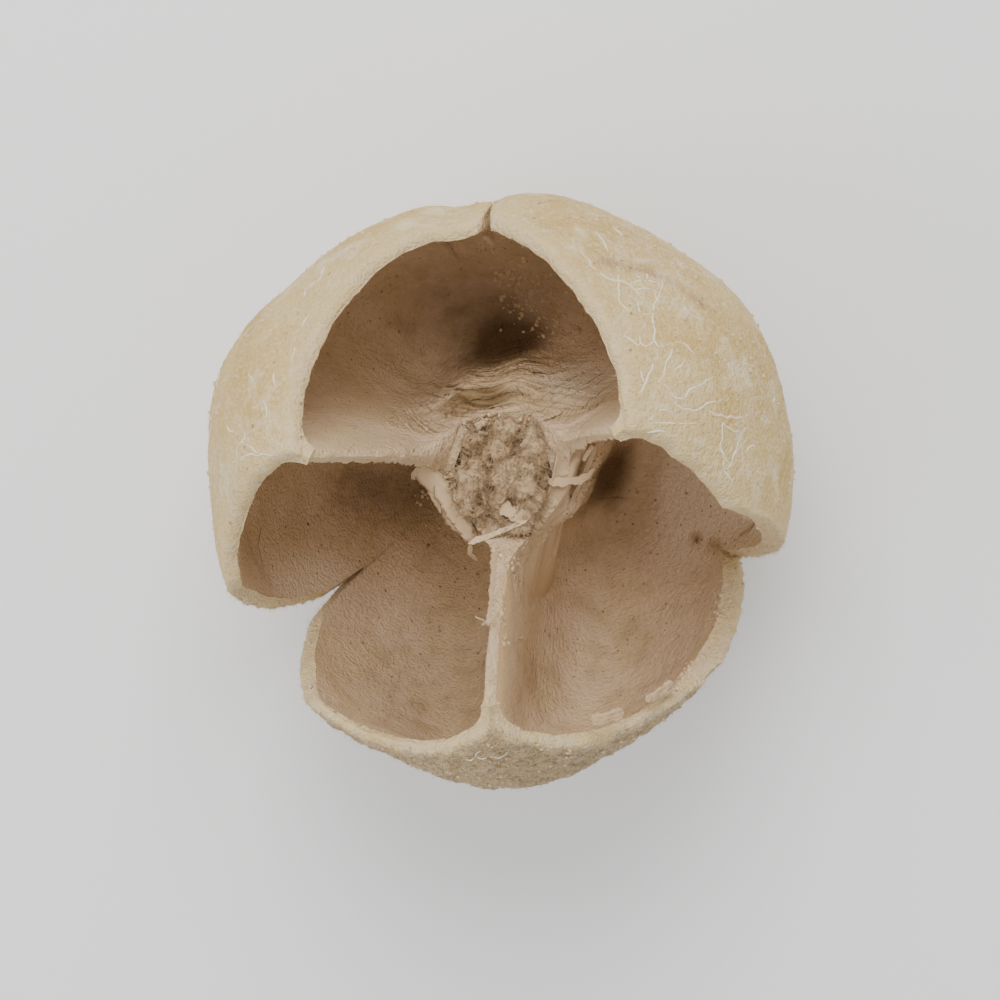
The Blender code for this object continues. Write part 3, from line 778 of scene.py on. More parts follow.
def shell_relief(skin):
    """Height of the whole shell's relief, frayed along its edges"""
    points = np.array(skin.points)
    lining = np.array(skin.marks["lining"])
    edge = np.array(skin.marks["edge"])
    fray = np.clip(np.array(skin.marks["fray"]), 0.0, 1.0)
    inside = lining > 0.9
    height = np.zeros(len(points))
    height[~inside] = skin_relief(points[~inside])
    height[inside] = lining_relief(points[inside])
    resting = points[:, 2] < base_height() + 0.03
    height[resting] *= 0.25
    torn = 0.004 * grain(points, 34.0, 31.0) + 0.010 * np.maximum(grain(points, 20.0, 32.0), 0.0)
    crumbs = np.array(skin.marks["crumbs"])
    lumpy = crumbs * (0.020 * np.maximum(0.5 - cells(points, 26.0, 3.0), 0.0) + 0.008 * grain(points, 48.0, 33.0))
    height = height * (1.0 - 0.4 * edge) + fray * torn + lumpy
    first = points[:, 2] <= base_height() + 0.0015
    height[first] = 0.0
    return height


def shell_mesh():
    """The fine woody pod: skin, lip, three linings, septum edges, collar and socket"""
    skin = Skin()
    spans = [chamber_azimuths(chamber) for chamber in range(3)]
    lip = add_outside(skin, np.concatenate([azimuth[:-1] for azimuth in spans]))
    mouths = [add_chamber(skin, chamber, azimuth) for chamber, azimuth in enumerate(spans)]
    septa = []
    for index in range(3):
        rows = add_septum_edge(skin, mouths[index - 1][1], mouths[index][3], index)
        tip = lip[index * CHAMBER_SPANS]
        skin.open_fan([row[0] for row in rows], tip)
        septa.append(rows)
    collar = []
    for chamber, (rim, down, around, up) in enumerate(mouths):
        first = chamber * CHAMBER_SPANS
        outer = [lip[(first + step) % len(lip)] for step in range(CHAMBER_SPANS + 1)]
        skin.strip(outer, rim)
        collar += [row[-1] for row in septa[chamber][2:]] + around[::-1]
        collar += [row[-1] for row in septa[(chamber + 1) % 3][:2]]
    add_socket(skin, collar)
    mesh = skin.build("fine_pod_shell", shell_relief)
    mesh.set_sharp_from_angle(angle=np.radians(62.0))
    return mesh


def pith_mesh():
    """The spongy pith: a plug in the socket with a lumpy, pitted crown"""
    skin = Skin()
    sides = 180
    turn = np.linspace(0.0, 2.0 * np.pi, sides, endpoint=False)
    bottom = SOCKET_FLOOR + PITH_GAP
    profile = [(PITH_RADIUS - 0.006, height, 0.0, 0.0) for height in np.linspace(bottom, -0.12, 8)]
    profile += [(PITH_RADIUS - 0.006, height, 0.0, 0.0) for height in np.linspace(-0.10, -0.01, 12)]
    for share in np.linspace(0.0, 0.985, 72):
        angle = share * np.pi / 2.0
        height = -0.005 + (PITH_TOP + 0.005) * np.sin(angle)
        spill = np.exp(-((angle - 0.62) / 0.30) ** 2)
        profile.append((PITH_RADIUS * np.cos(angle) ** 0.8 + 0.0004, height, eased(share * 2.5), spill))
    rows = []
    around = np.stack([np.cos(turn), np.sin(turn), np.zeros(sides)], axis=-1)
    lobes = 0.5 + 0.5 * np.abs(np.sin(turn)) + 1.1 * grain(around, 1.7, 8.0) + 0.6 * grain(around, 4.5, 8.5)
    for radius, height, crown, spill in profile:
        reach = radius + spill * 0.034 * np.clip(lobes, -0.2, 1.8)
        ring = np.stack([reach * np.cos(turn), reach * np.sin(turn), np.full(sides, height)], axis=-1)
        ring[:, 2] += crown * 0.030 * grain(ring, 9.0, 9.0)
        above = eased((height - 0.010) / 0.03)
        # Painted shade on the plug below its crown, inside the socket, and in the creases of the crown
        crease = np.clip((cells(ring, 10.0, 7.3) - 0.42) * 2.4, 0.0, 1.0)
        dark = np.maximum(1.0 - eased((height + 0.03) / 0.05), 0.55 * crease)
        rows.append(skin.add(
            ring + np.array([HUB[0], HUB[1], 0.0]), edge=crown, hollow=dark, fray=1.0 * (height > -0.01),
            lining=above))
    for lower, upper in zip(rows, rows[1:]):
        skin.strip(lower, upper, closed=True)
    top = np.mean([skin.points[number] for number in rows[-1]], axis=0)
    skin.fan(rows[-1], skin.add([top], edge=1.0, fray=1.0, lining=1.0)[0])
    skin.fan(rows[0], skin.add([(HUB[0], HUB[1], bottom)], hollow=1.0)[0])

    def relief(kept):
        points = np.array(kept.points)
        local = points - np.array([HUB[0], HUB[1], 0.0])
        high = np.array(kept.marks["lining"])
        near = cells(local, 10.0, 7.3)
        small = cells(local, 26.0, 2.1)
        lobes = 0.064 * (0.40 - near ** 2) + 0.022 * (0.42 - small ** 2)
        fluff = 0.008 * grain(points, 55.0, 51.0) + 0.005 * grain(points, 95.0, 52.0)
        pits = -0.045 * eased((grain(points, 15.0, 53.0) - 0.34) / 0.10)
        return high * (lobes + fluff + pits) + (1.0 - high) * 0.004 * grain(points, 30.0, 54.0)

    return skin.build("fine_pith_column", relief)


STRIP_OUTLINE = (
    (-1.0, 0.0), (-0.72, 0.45), (-0.45, 0.10), (-0.15, 0.55), (0.15, 0.15), (0.45, 0.50), (0.75, 0.12), (1.0, 0.0),
    (0.5, -0.25), (0.0, -0.30), (-0.5, -0.25))


def torn_strip(skin, path, width, thickness, across, seed, marks, ragged=1.0):
    """Add a thin ragged strip of dry tissue along a path, closed all round"""
    path = np.array(path, dtype=float)
    steps = np.concatenate([[0.0], np.cumsum(np.linalg.norm(np.diff(path, axis=0), axis=1))])
    count = max(10, int(steps[-1] / 0.0055))
    at = np.linspace(0.0, steps[-1], count)
    line = np.column_stack([np.interp(at, steps, path[:, axis]) for axis in range(3)])
    line = line + 0.003 * np.column_stack([grain(line, 12.0, seed + axis) for axis in range(3)])
    along = unit(np.gradient(line, axis=0))
    side = unit(np.asarray(across, dtype=float) - along * (along @ np.asarray(across, dtype=float))[:, None])
    normal = np.cross(along, side)
    share = np.linspace(0.0, 1.0, count)
    taper = np.clip(np.minimum(share / 0.10, (1.0 - share) / 0.16), 0.03, 1.0) ** 0.6
    spread = []
    for number in range(2):
        wave = 0.35 * grain(line, 22.0, seed + 5.0 + number) + 0.5 * grain(line, 75.0, seed + 7.0 + number)
        spread.append(0.5 * width * taper * (1.0 + ragged * wave))
    curl = 0.16 * width * (0.5 + grain(line, 6.0, seed + 9.0))
    rows = []
    for offset, rise in STRIP_OUTLINE:
        reach = offset * spread[0] if offset < 0.0 else offset * spread[1]
        ridge = 0.35 * thickness * grain(line + offset * 0.2, 45.0, seed + 11.0) * (rise > 0.0)
        up = rise * thickness * taper + curl * (offset ** 2 - 0.4) + ridge
        rows.append(line + side * reach[:, None] + normal * up[:, None])
    rings = [skin.add(np.array([row[step] for row in rows]), **marks) for step in range(count)]
    for first, second in zip(rings, rings[1:]):
        skin.strip(first, second, closed=True)
    for ring, step in ((rings[0], 0), (rings[-1], -1)):
        skin.fan(ring, skin.add([np.mean([row[step] for row in rows], axis=0)], **marks)[0])


def fringe(index, side, first, last, drop):
    """Path just below a septum's free edge, on one of its faces, between two shares of its length"""
    edge = septum_edge(index, side)
    across = septum_line(VALVE_MIDDLES[index])[1] * side
    kept = edge[int(first * SEPTUM_SPANS):int(last * SEPTUM_SPANS) + 1:3]
    return kept + np.array([across[0] * 0.012, across[1] * 0.012, -drop])


def shred_lines():
    """Paths of the larger shreds: the splinter, the webs between the septa, curled shards and slivers"""
    pale = {"edge": 1.0, "fray": 0.3}
    buff = {"edge": 0.55, "fray": 0.4}
    tan = {"lining": 1.0, "edge": 0.10, "fray": 0.5}
    dull = {"lining": 1.0, "edge": 0.0, "fray": 0.4}
    fold = {"lining": 1.0, "edge": 0.04, "fray": 0.3, "smooth": True}
    dim = {"lining": 1.0, "edge": 0.0, "fray": 0.3, "smooth": True}
    shreds = [
        (((-0.122, -0.178, 0.050), (-0.050, -0.152, 0.078), (0.030, -0.121, 0.108), (0.104, -0.092, 0.130)),
         0.020, 0.003, (0.2, 1.0, 0.0), pale),
        (((0.010, -0.048, 0.108), (0.050, -0.070, 0.116), (0.085, -0.088, 0.112), (0.108, -0.100, 0.100)),
         0.056, 0.003, (0.8, 0.8, -0.25), dull),
        (((-0.272, 0.112, 0.040), (-0.232, 0.056, 0.046), (-0.190, -0.024, 0.048), (-0.152, -0.100, 0.040),
          (-0.116, -0.172, 0.020)), 0.096, 0.004, (-0.85, -0.40, -0.45), dim),
        (((-0.210, 0.040, 0.056), (-0.170, -0.045, 0.052), (-0.130, -0.130, 0.034), (-0.100, -0.185, 0.014)),
         0.060, 0.005, (-0.85, -0.40, 0.10), dim),
        (((-0.250, 0.040, 0.030), (-0.212, -0.045, 0.030), (-0.166, -0.120, 0.020)), 0.040, 0.006, (-0.85, -0.4, -0.6),
         dull),
        (((0.170, 0.020, 0.050), (0.215, 0.012, 0.052), (0.262, 0.010, 0.046), (0.306, 0.024, 0.050),
          (0.338, 0.052, 0.066)), 0.034, 0.004, (0.3, 1.0, -0.6), dull),
        (((0.346, 0.130, 0.020), (0.312, 0.062, 0.010), (0.270, -0.014, -0.020), (0.226, -0.090, -0.070),
          (0.186, -0.170, -0.160)), 0.030, 0.006, (0.62, 0.10, -0.70), fold),
        (((0.296, 0.078, 0.050), (0.322, 0.112, 0.085), (0.346, 0.140, 0.100), (0.338, 0.120, 0.104)),
         0.020, 0.006, (0.5, -0.6, 0.4), tan),
        (((0.305, -0.692, 0.586), (0.350, -0.690, 0.566), (0.410, -0.682, 0.524)), 0.040, 0.028, (-0.2, 0.9, -0.2), dull),
        (((0.475, -0.672, 0.446), (0.515, -0.662, 0.392), (0.565, -0.646, 0.310)), 0.034, 0.022, (-0.3, 0.9, -0.2), tan),
        (((-0.118, -0.185, 0.040), (-0.128, -0.225, 0.000), (-0.112, -0.262, -0.040)), 0.018, 0.006, (1.0, 0.0, 0.2),
         tan),
        (((-0.262, 0.100, 0.050), (-0.284, 0.078, 0.034), (-0.292, 0.050, 0.010)), 0.024, 0.006, (1.0, 0.2, 0.0), tan),
        (((-0.838, -0.070, 0.000), (-0.868, -0.150, -0.040), (-0.862, -0.240, -0.060), (-0.830, -0.310, -0.070)),
         0.020, 0.005, (0.3, 0.1, 1.0), buff),
        (((-0.055, -0.325, 0.520), (-0.005, -0.345, 0.545), (0.020, -0.352, 0.540)), 0.018, 0.004, (0.0, 0.5, 1.0),
         pale),
        (((-0.030, -0.350, 0.560), (0.012, -0.335, 0.548), (0.034, -0.320, 0.520)), 0.012, 0.004, (0.2, 1.0, 0.3),
         pale),
        (((0.062, -0.455, 0.330), (0.066, -0.470, 0.290), (0.060, -0.490, 0.240)), 0.018, 0.005, (1.0, 0.3, 0.0),
         pale),
        (((-0.150, 0.800, -0.330), (-0.150, 0.760, -0.420), (-0.140, 0.705, -0.500)), 0.012, 0.005, (1.0, 0.2, 0.3),
         buff),
        (((-0.005, 0.835, -0.250), (0.012, 0.790, -0.300), (-0.010, 0.770, -0.360)), 0.018, 0.008, (1.0, 0.2, 0.3),
         pale),
        (((0.835, -0.235, -0.240), (0.800, -0.275, -0.290), (0.765, -0.300, -0.330)), 0.016, 0.006, (0.4, 0.2, 1.0),
         tan),
        (fringe(1, 1.0, 0.00, 0.40, 0.008), 0.034, 0.006, (-0.45, -0.75, -0.60), buff),
        (fringe(1, 1.0, 0.34, 0.72, 0.012), 0.040, 0.006, (-0.45, -0.75, -0.60), tan),
        (fringe(1, 1.0, 0.66, 0.98, 0.006), 0.046, 0.006, (-0.45, -0.75, -0.50), tan),
        (fringe(0, -1.0, 0.00, 0.36, 0.006), 0.036, 0.006, (0.45, -0.75, -0.60), buff),
        (fringe(0, -1.0, 0.30, 0.68, 0.010), 0.044, 0.007, (0.45, -0.75, -0.60), buff),
        (fringe(0, -1.0, 0.60, 0.97, 0.004), 0.048, 0.007, (0.45, -0.75, -0.40), buff),
        (fringe(2, -1.0, 0.50, 0.97, 0.012), 0.030, 0.005, (-0.60, 0.10, -0.90), dull),
    ]
    return shreds


def smooth_row(corners, count):
    """A row of points through a few corners, rounded off"""
    corners = np.array(corners, dtype=float)
    at = np.linspace(0.0, len(corners) - 1.0, count)
    row = np.column_stack([np.interp(at, np.arange(len(corners)), corners[:, axis]) for axis in range(3)])
    for _ in range(24):
        row[1:-1] = (row[:-2] + 2.0 * row[1:-1] + row[2:]) / 4.0
    return row


def add_web_sheet(skin):
    """The wide web at the right of the column: one thin sheet with soft folds and slits near its free edge"""
    spans, lines = 120, 34
    inner = smooth_row(WEB_INNER, spans)
    outer = smooth_row(WEB_OUTER, spans)
    ragged = 0.010 * grain(outer, 16.0, 301.0) + 0.007 * grain(outer, 70.0, 302.0)
    outer = outer + unit(outer - inner) * ragged[:, None]
    down = np.linspace(0.0, 1.0, spans)
    wander = 0.10 * grain(inner, 5.0, 303.0)
    grid = []
    dark = []
    for across in np.linspace(0.0, 1.0, lines):
        row = inner * (1.0 - across) + outer * across
        place = across + wander
        sunk = 1.0 - eased((down - 0.60) / 0.40)
        bow = 0.030 * np.sin(np.pi * across) * (1.0 - 0.5 * down) * sunk
        folds = 0.012 * np.cos(2.0 * np.pi * (1.9 * place + 0.35 * down + 0.15)) * eased(down / 0.08) * sunk
        first = np.exp(-((place - 0.76 + 0.10 * down) / 0.045) ** 2) * eased((0.40 - down) / 0.10)
        second = np.exp(-((place - 0.88 + 0.30 * (down - 0.4)) / 0.050) ** 2) * eased((0.22 - np.abs(down - 0.48)) / 0.08)
        third = np.exp(-((place - 0.36) / 0.030) ** 2) * eased((0.30 - np.abs(down - 0.72)) / 0.10)
        slits = 0.040 * first + 0.030 * second + 0.010 * third
        fibres = 0.0030 * grain(np.column_stack([place * 30.0, down * 5.0, 0.0 * down]), 1.0, 304.0)
        fibres = fibres + 0.0024 * grain(row, 34.0, 305.0)
        lift = bow + folds + fibres - slits
        grid.append(row + np.array(WEB_FACING) * lift[:, None])
        # Painted shade in the slits and the troughs of the folds, and lightly on the sheet's underside
        dark.append(np.clip(1.1 * first + 0.9 * second + 0.45 * third - 9.0 * np.minimum(folds, 0.0), 0.0, 1.0))
    under = [row - np.array(WEB_FACING) * 0.012 for row in grid]
    marks = {"lining": 1.0, "fray": 0.3}
    upper = [skin.add(row, hollow=shade, edge=0.12 if number > lines - 3 else 0.0, **marks)
             for number, (row, shade) in enumerate(zip(grid, dark))]
    lower = [skin.add(row, hollow=0.2, **marks) for row in under]
    for rows in (upper, lower):
        for one, two in zip(rows, rows[1:]):
            skin.strip(one, two)
    for one, two in ((upper[0], lower[0]), (upper[-1], lower[-1])):
        skin.strip(one, two)
    for end in (0, -1):
        skin.strip([row[end] for row in upper], [row[end] for row in lower])


def shred_mesh():
    """All the larger shreds as one mesh"""
    skin = Skin()
    add_web_sheet(skin)
    for number, (path, width, thickness, across, marks) in enumerate(shred_lines()):
        ragged = 0.45 if marks.get("smooth") else 1.0
        kept = {name: value for name, value in marks.items() if name != "smooth"}
        torn_strip(skin, path, width, thickness, across, 60.0 + 3.0 * number, kept, ragged)
    return skin.build("torn_shreds")


def vein_lines(count, reach, seed):
    """Veins as lists of azimuth and latitude: those listed and a scatter of wandering, forking ones"""
    lines = [list(line) for line in DRAWN_VEINS]
    chance = np.random.default_rng(seed)
    starts = []
    for _ in range(count):
        valve = VALVE_MIDDLES[chance.integers(3)]
        azimuth = valve + chance.normal(0.0, 26.0)
        latitude = chance.uniform(-60.0, 48.0)
        starts.append((azimuth, latitude, chance.uniform(0.0, 360.0), int(chance.integers(3, reach))))
    while starts:
        azimuth, latitude, course, steps = starts.pop()
        line = [(azimuth, latitude)]
        for _ in range(steps):
            course += chance.normal(0.0, 32.0)
            stride = chance.uniform(1.0, 2.2)
            azimuth += stride * np.cos(np.radians(course)) / max(0.3, np.cos(np.radians(latitude)))
            latitude += stride * np.sin(np.radians(course))
            edge = rim_latitude(np.array([azimuth]))[0]
            if latitude > edge - 4.0 or latitude < -70.0:
                break
            line.append((azimuth, latitude))
            if chance.uniform() < 0.16 and steps > 3:
                starts.append((azimuth, latitude, course + chance.choice([-60.0, 60.0]), steps // 2))
        if len(line) > 1:
            lines.append(line)
    return lines


def vein_path_mesh(girth, count, reach, seed):
    """The veins' middle lines as edges that lie on the skin, with their girth"""
    points = []
    edges = []
    girths = []
    for line in vein_lines(count, reach, seed):
        corners = np.array(line)
        at = np.arange(len(corners))
        fine = np.linspace(0.0, len(corners) - 1.0, (len(corners) - 1) * 4 + 1)
        azimuth = np.interp(fine, at, corners[:, 0])
        latitude = np.interp(fine, at, corners[:, 1])
        for _ in range(3):
            azimuth[1:-1] = (azimuth[:-2] + 2.0 * azimuth[1:-1] + azimuth[2:]) / 4.0
            latitude[1:-1] = (latitude[:-2] + 2.0 * latitude[1:-1] + latitude[2:]) / 4.0
        out = heading(azimuth, latitude)
        azimuth = azimuth + 0.7 * grain(out, 26.0, 71.0)
        latitude = latitude + 0.7 * grain(out, 26.0, 72.0)
        skin = skin_points(azimuth, latitude)
        skin = skin + unit(skin) * (skin_relief(skin) - 0.0014)[:, None]
        first = len(points)
        points.extend(placed(skin).tolist())
        edges.extend((first + step, first + step + 1) for step in range(len(skin) - 1))
        ends = np.sin(np.linspace(0.15, np.pi - 0.15, len(skin))) ** 0.5
        girths.extend((girth * ends * (1.0 + 0.5 * grain(out, 30.0, 73.0))).tolist())
    mesh = bpy.data.meshes.new("vein_paths")
    mesh.from_pydata(points, edges, [])
    mesh.attributes.new("girth", "FLOAT", "POINT").data.foreach_set("value", np.array(girths, np.float32))
    return mesh


def new_node(tree, kind, **settings):
    """A node of a tree, with its own settings"""
    made = tree.nodes.new(kind)
    for name, value in settings.items():
        setattr(made, name, value)
    return made


def geometry_tree(name, inputs):
    """An empty Geometry Nodes tree with named inputs, and its ends"""
    tree = bpy.data.node_groups.new(name, "GeometryNodeTree")
    tree.interface.new_socket("Geometry", in_out="INPUT", socket_type="NodeSocketGeometry")
    for label, kind in inputs:
        tree.interface.new_socket(label, in_out="INPUT", socket_type=kind)
    tree.interface.new_socket("Geometry", in_out="OUTPUT", socket_type="NodeSocketGeometry")
    return tree, new_node(tree, "NodeGroupInput"), new_node(tree, "NodeGroupOutput")


def vein_tree():
    """Tubes along paths, as thick as their girth says"""
    tree, start, end = geometry_tree("vein_tubes", (
        ("Flatness", "NodeSocketFloat"), ("Sides", "NodeSocketInt"), ("Finish", "NodeSocketMaterial")))
    link = tree.links.new
    curve = new_node(tree, "GeometryNodeMeshToCurve")
    girth = new_node(tree, "GeometryNodeInputNamedAttribute", data_type="FLOAT")
    girth.inputs["Name"].default_value = "girth"
    radius = new_node(tree, "GeometryNodeSetCurveRadius")
    ring = new_node(tree, "GeometryNodeCurvePrimitiveCircle")
    ring.inputs["Radius"].default_value = 1.0
    flat = new_node(tree, "GeometryNodeTransform")
    size = new_node(tree, "ShaderNodeCombineXYZ")
    size.inputs["X"].default_value = 1.0
    size.inputs["Z"].default_value = 1.0
    tube = new_node(tree, "GeometryNodeCurveToMesh")
    tube.inputs["Fill Caps"].default_value = True
    real = new_node(tree, "GeometryNodeRealizeInstances")
    finish = new_node(tree, "GeometryNodeSetMaterial")
    link(start.outputs["Geometry"], curve.inputs["Mesh"])
    link(curve.outputs["Curve"], radius.inputs["Curve"])
    link(girth.outputs["Attribute"], radius.inputs["Radius"])
    link(start.outputs["Sides"], ring.inputs["Resolution"])
    link(ring.outputs["Curve"], flat.inputs["Geometry"])
    link(start.outputs["Flatness"], size.inputs["Y"])
    link(size.outputs["Vector"], flat.inputs["Scale"])
    link(radius.outputs["Curve"], tube.inputs["Curve"])
    link(flat.outputs["Geometry"], tube.inputs["Profile Curve"])
    if "Scale" in tube.inputs:
        link(girth.outputs["Attribute"], tube.inputs["Scale"])
    link(tube.outputs["Mesh"], real.inputs["Geometry"])
    link(real.outputs["Geometry"], finish.inputs["Geometry"])
    link(start.outputs["Finish"], finish.inputs["Material"])
    link(finish.outputs["Geometry"], end.inputs["Geometry"])
    return tree


def scatter_tree(name, mark):
    """Shapes strewn over a surface where one of its marks is above nought"""
    tree, start, end = geometry_tree(name, (
        ("Density", "NodeSocketFloat"), ("Smallest", "NodeSocketFloat"), ("Largest", "NodeSocketFloat"),
        ("Tilt", "NodeSocketFloat"), ("Seed", "NodeSocketInt"), ("Shapes", "NodeSocketCollection"),
        ("Finish", "NodeSocketMaterial")))
    link = tree.links.new
    marked = new_node(tree, "GeometryNodeInputNamedAttribute", data_type="FLOAT")
    marked.inputs["Name"].default_value = mark
    thick = new_node(tree, "ShaderNodeMath", operation="MULTIPLY")
    spread = new_node(tree, "GeometryNodeDistributePointsOnFaces", distribute_method="RANDOM")
    shapes = new_node(tree, "GeometryNodeCollectionInfo", transform_space="ORIGINAL")
    shapes.inputs["Separate Children"].default_value = True
    shapes.inputs["Reset Children"].default_value = True
    which = new_node(tree, "FunctionNodeRandomValue", data_type="INT")
    which.inputs[4].default_value = 0
    which.inputs[5].default_value = 3
    size = new_node(tree, "FunctionNodeRandomValue", data_type="FLOAT")
    lean = new_node(tree, "FunctionNodeRandomValue", data_type="FLOAT_VECTOR")
    lean.inputs[0].default_value = (-1.0, -1.0, -1.0)
    lean.inputs[1].default_value = (1.0, 1.0, 1.0)
    leaning = new_node(tree, "ShaderNodeVectorMath", operation="SCALE")
    toward = new_node(tree, "ShaderNodeVectorMath", operation="ADD")
    turn = new_node(tree, "FunctionNodeAlignRotationToVector", axis="Z")
    spin = new_node(tree, "FunctionNodeRandomValue", data_type="FLOAT")
    spin.inputs[2].default_value = 0.0
    spin.inputs[3].default_value = 6.2832
    about = new_node(tree, "FunctionNodeAxisAngleToRotation")
    about.inputs["Axis"].default_value = (0.0, 0.0, 1.0)
    turned = new_node(tree, "FunctionNodeRotateRotation", rotation_space="LOCAL")
    strewn = new_node(tree, "GeometryNodeInstanceOnPoints")
    strewn.inputs["Pick Instance"].default_value = True
    real = new_node(tree, "GeometryNodeRealizeInstances")
    finish = new_node(tree, "GeometryNodeSetMaterial")
    link(start.outputs["Geometry"], spread.inputs["Mesh"])
    link(start.outputs["Density"], thick.inputs[0])
    link(marked.outputs["Attribute"], thick.inputs[1])
    link(thick.outputs["Value"], spread.inputs["Density"])
    link(start.outputs["Seed"], spread.inputs["Seed"])
    link(start.outputs["Shapes"], shapes.inputs["Collection"])
    for number, chooser in enumerate((which, size, lean, spin)):
        link(start.outputs["Seed"], chooser.inputs["Seed"])
    link(start.outputs["Smallest"], size.inputs[2])
    link(start.outputs["Largest"], size.inputs[3])
    link(lean.outputs[0], leaning.inputs[0])
    link(start.outputs["Tilt"], leaning.inputs["Scale"])
    link(spread.outputs["Normal"], toward.inputs[0])
    link(leaning.outputs["Vector"], toward.inputs[1])
    link(toward.outputs["Vector"], turn.inputs["Vector"])
    link(spin.outputs[1], about.inputs["Angle"])
    link(turn.outputs["Rotation"], turned.inputs["Rotation"])
    link(about.outputs["Rotation"], turned.inputs["Rotate By"])
    link(spread.outputs["Points"], strewn.inputs["Points"])
    link(shapes.outputs["Instances"], strewn.inputs["Instance"])
    link(which.outputs[2], strewn.inputs["Instance Index"])
    link(turned.outputs["Rotation"], strewn.inputs["Rotation"])
    link(size.outputs[1], strewn.inputs["Scale"])
    link(strewn.outputs["Instances"], real.inputs["Geometry"])
    link(real.outputs["Geometry"], finish.inputs["Geometry"])
    link(start.outputs["Finish"], finish.inputs["Material"])
    link(finish.outputs["Geometry"], end.inputs["Geometry"])
    return tree


def grown(name, mesh, tree, values):
    """What a Geometry Nodes tree makes of a mesh, as a plain object"""
    host = add_piece(name + "_guide", mesh)
    grower = host.modifiers.new(name, "NODES")
    grower.node_group = tree
    sockets = {item.name: item.identifier for item in tree.interface.items_tree if item.in_out == "INPUT"}
    for label, value in values.items():
        grower[sockets[label]] = value
    bpy.context.view_layer.update()
    made = bpy.data.meshes.new_from_object(host.evaluated_get(bpy.context.evaluated_depsgraph_get()))
    host.modifiers.remove(grower)
    bpy.data.objects.remove(host)
    if not made.polygons:
        raise RuntimeError(f"{name} came out empty")
    made.name = name
    return add_piece(name, made)


def fibre_shapes():
    """Four bent, tapering fibres of length one"""
    group = bpy.data.collections.new("fibre_shapes")
    bpy.context.scene.collection.children.link(group)
    chance = np.random.default_rng(5)
    for number in range(4):
        skin = Skin()
        bend = chance.uniform(-0.35, 0.35, 2)
        rings = []
        for step in np.linspace(0.0, 1.0, 4):
            wander = bend * step ** 2 + 0.06 * np.sin(step * 7.0 + number)
            girth = 0.045 * (1.0 - 0.75 * step)
            turn = np.linspace(0.0, 2.0 * np.pi, 3, endpoint=False)
            ring = np.column_stack([wander[0] + girth * np.cos(turn), wander[1] + girth * np.sin(turn),
                                    np.full(3, step - 0.05)])
            rings.append(skin.add(ring))
        for lower, upper in zip(rings, rings[1:]):
            skin.strip(lower, upper, closed=True)
        skin.faces.append(tuple(rings[0]))
        skin.faces.append(tuple(rings[-1]))
        group.objects.link(small_shape(f"fibre_{number}", skin))
    return group


def crumb_shapes():
    """Four rough crumbs about one across"""
    group = bpy.data.collections.new("crumb_shapes")
    bpy.context.scene.collection.children.link(group)
    for number in range(4):
        shape = bmesh.new()
        bmesh.ops.create_icosphere(shape, subdivisions=1, radius=0.5)
        for corner in shape.verts:
            place = corner.co.copy()
            lump = 1.0 + 0.55 * noise.noise(place * 2.6 + Vector((number * 7.0, 0.0, 0.0)))
            lump += 0.30 * noise.noise(place * 6.0 + Vector((0.0, number * 5.0, 0.0)))
            corner.co = Vector((place.x * lump, place.y * lump * (0.7 + 0.1 * number), place.z * lump * 0.75))
        mesh = bpy.data.meshes.new(f"crumb_{number}")
        shape.to_mesh(mesh)
        shape.free()
        mesh.shade_smooth()
        group.objects.link(bpy.data.objects.new(f"crumb_{number}", mesh))
    return group


def small_shape(name, skin):
    """An object of a shape that is strewn many times, at its own size and place"""
    mesh = bpy.data.meshes.new(name)
    mesh.from_pydata(skin.points, [], skin.faces)
    shape = bmesh.new()
    shape.from_mesh(mesh)
    bmesh.ops.recalc_face_normals(shape, faces=shape.faces)
    shape.to_mesh(mesh)
    shape.free()
    mesh.shade_smooth()
    return bpy.data.objects.new(name, mesh)


def clear_shapes(group):
    """Remove the strewn shapes' own objects"""
    for item in list(group.objects):
        bpy.data.objects.remove(item)
    bpy.data.collections.remove(group)


def mixed(tree, share, first, second, blend="MIX"):
    """The colour between two colours or sockets"""
    made = new_node(tree, "ShaderNodeMix", data_type="RGBA", blend_type=blend, clamp_factor=True)
    for socket, value in ((made.inputs[0], share), (made.inputs[6], first), (made.inputs[7], second)):
        if isinstance(value, bpy.types.NodeSocket):
            tree.links.new(value, socket)
        elif isinstance(value, float):
            socket.default_value = value
        else:
            socket.default_value = (*value, 1.0)
    return made.outputs[2]


def figured(tree, operation, first, second=0.0, third=0.0):
    """A sum on values or sockets"""
    made = new_node(tree, "ShaderNodeMath", operation=operation)
    for socket, value in zip(made.inputs, (first, second, third)):
        if isinstance(value, bpy.types.NodeSocket):
            tree.links.new(value, socket)
        else:
            socket.default_value = value
    return made.outputs[0]


def ranged(tree, value, low, high, first=0.0, second=1.0):
    """A value moved smoothly from one range to another"""
    made = new_node(tree, "ShaderNodeMapRange", interpolation_type="SMOOTHSTEP")
    tree.links.new(value, made.inputs["Value"])
    for label, number in (("From Min", low), ("From Max", high), ("To Min", first), ("To Max", second)):
        made.inputs[label].default_value = number
    return made.outputs["Result"]


def noise_at(tree, vector, scale, detail=3.0, distortion=0.0):
    """Noise at a scale"""
    made = new_node(tree, "ShaderNodeTexNoise")
    tree.links.new(vector, made.inputs["Vector"])
    made.inputs["Scale"].default_value = scale
    made.inputs["Detail"].default_value = detail
    made.inputs["Distortion"].default_value = distortion
    return made.outputs["Fac"]


def marked(tree, name):
    """A surface mark of the mesh"""
    made = new_node(tree, "ShaderNodeAttribute", attribute_name=name)
    return made.outputs["Fac"]


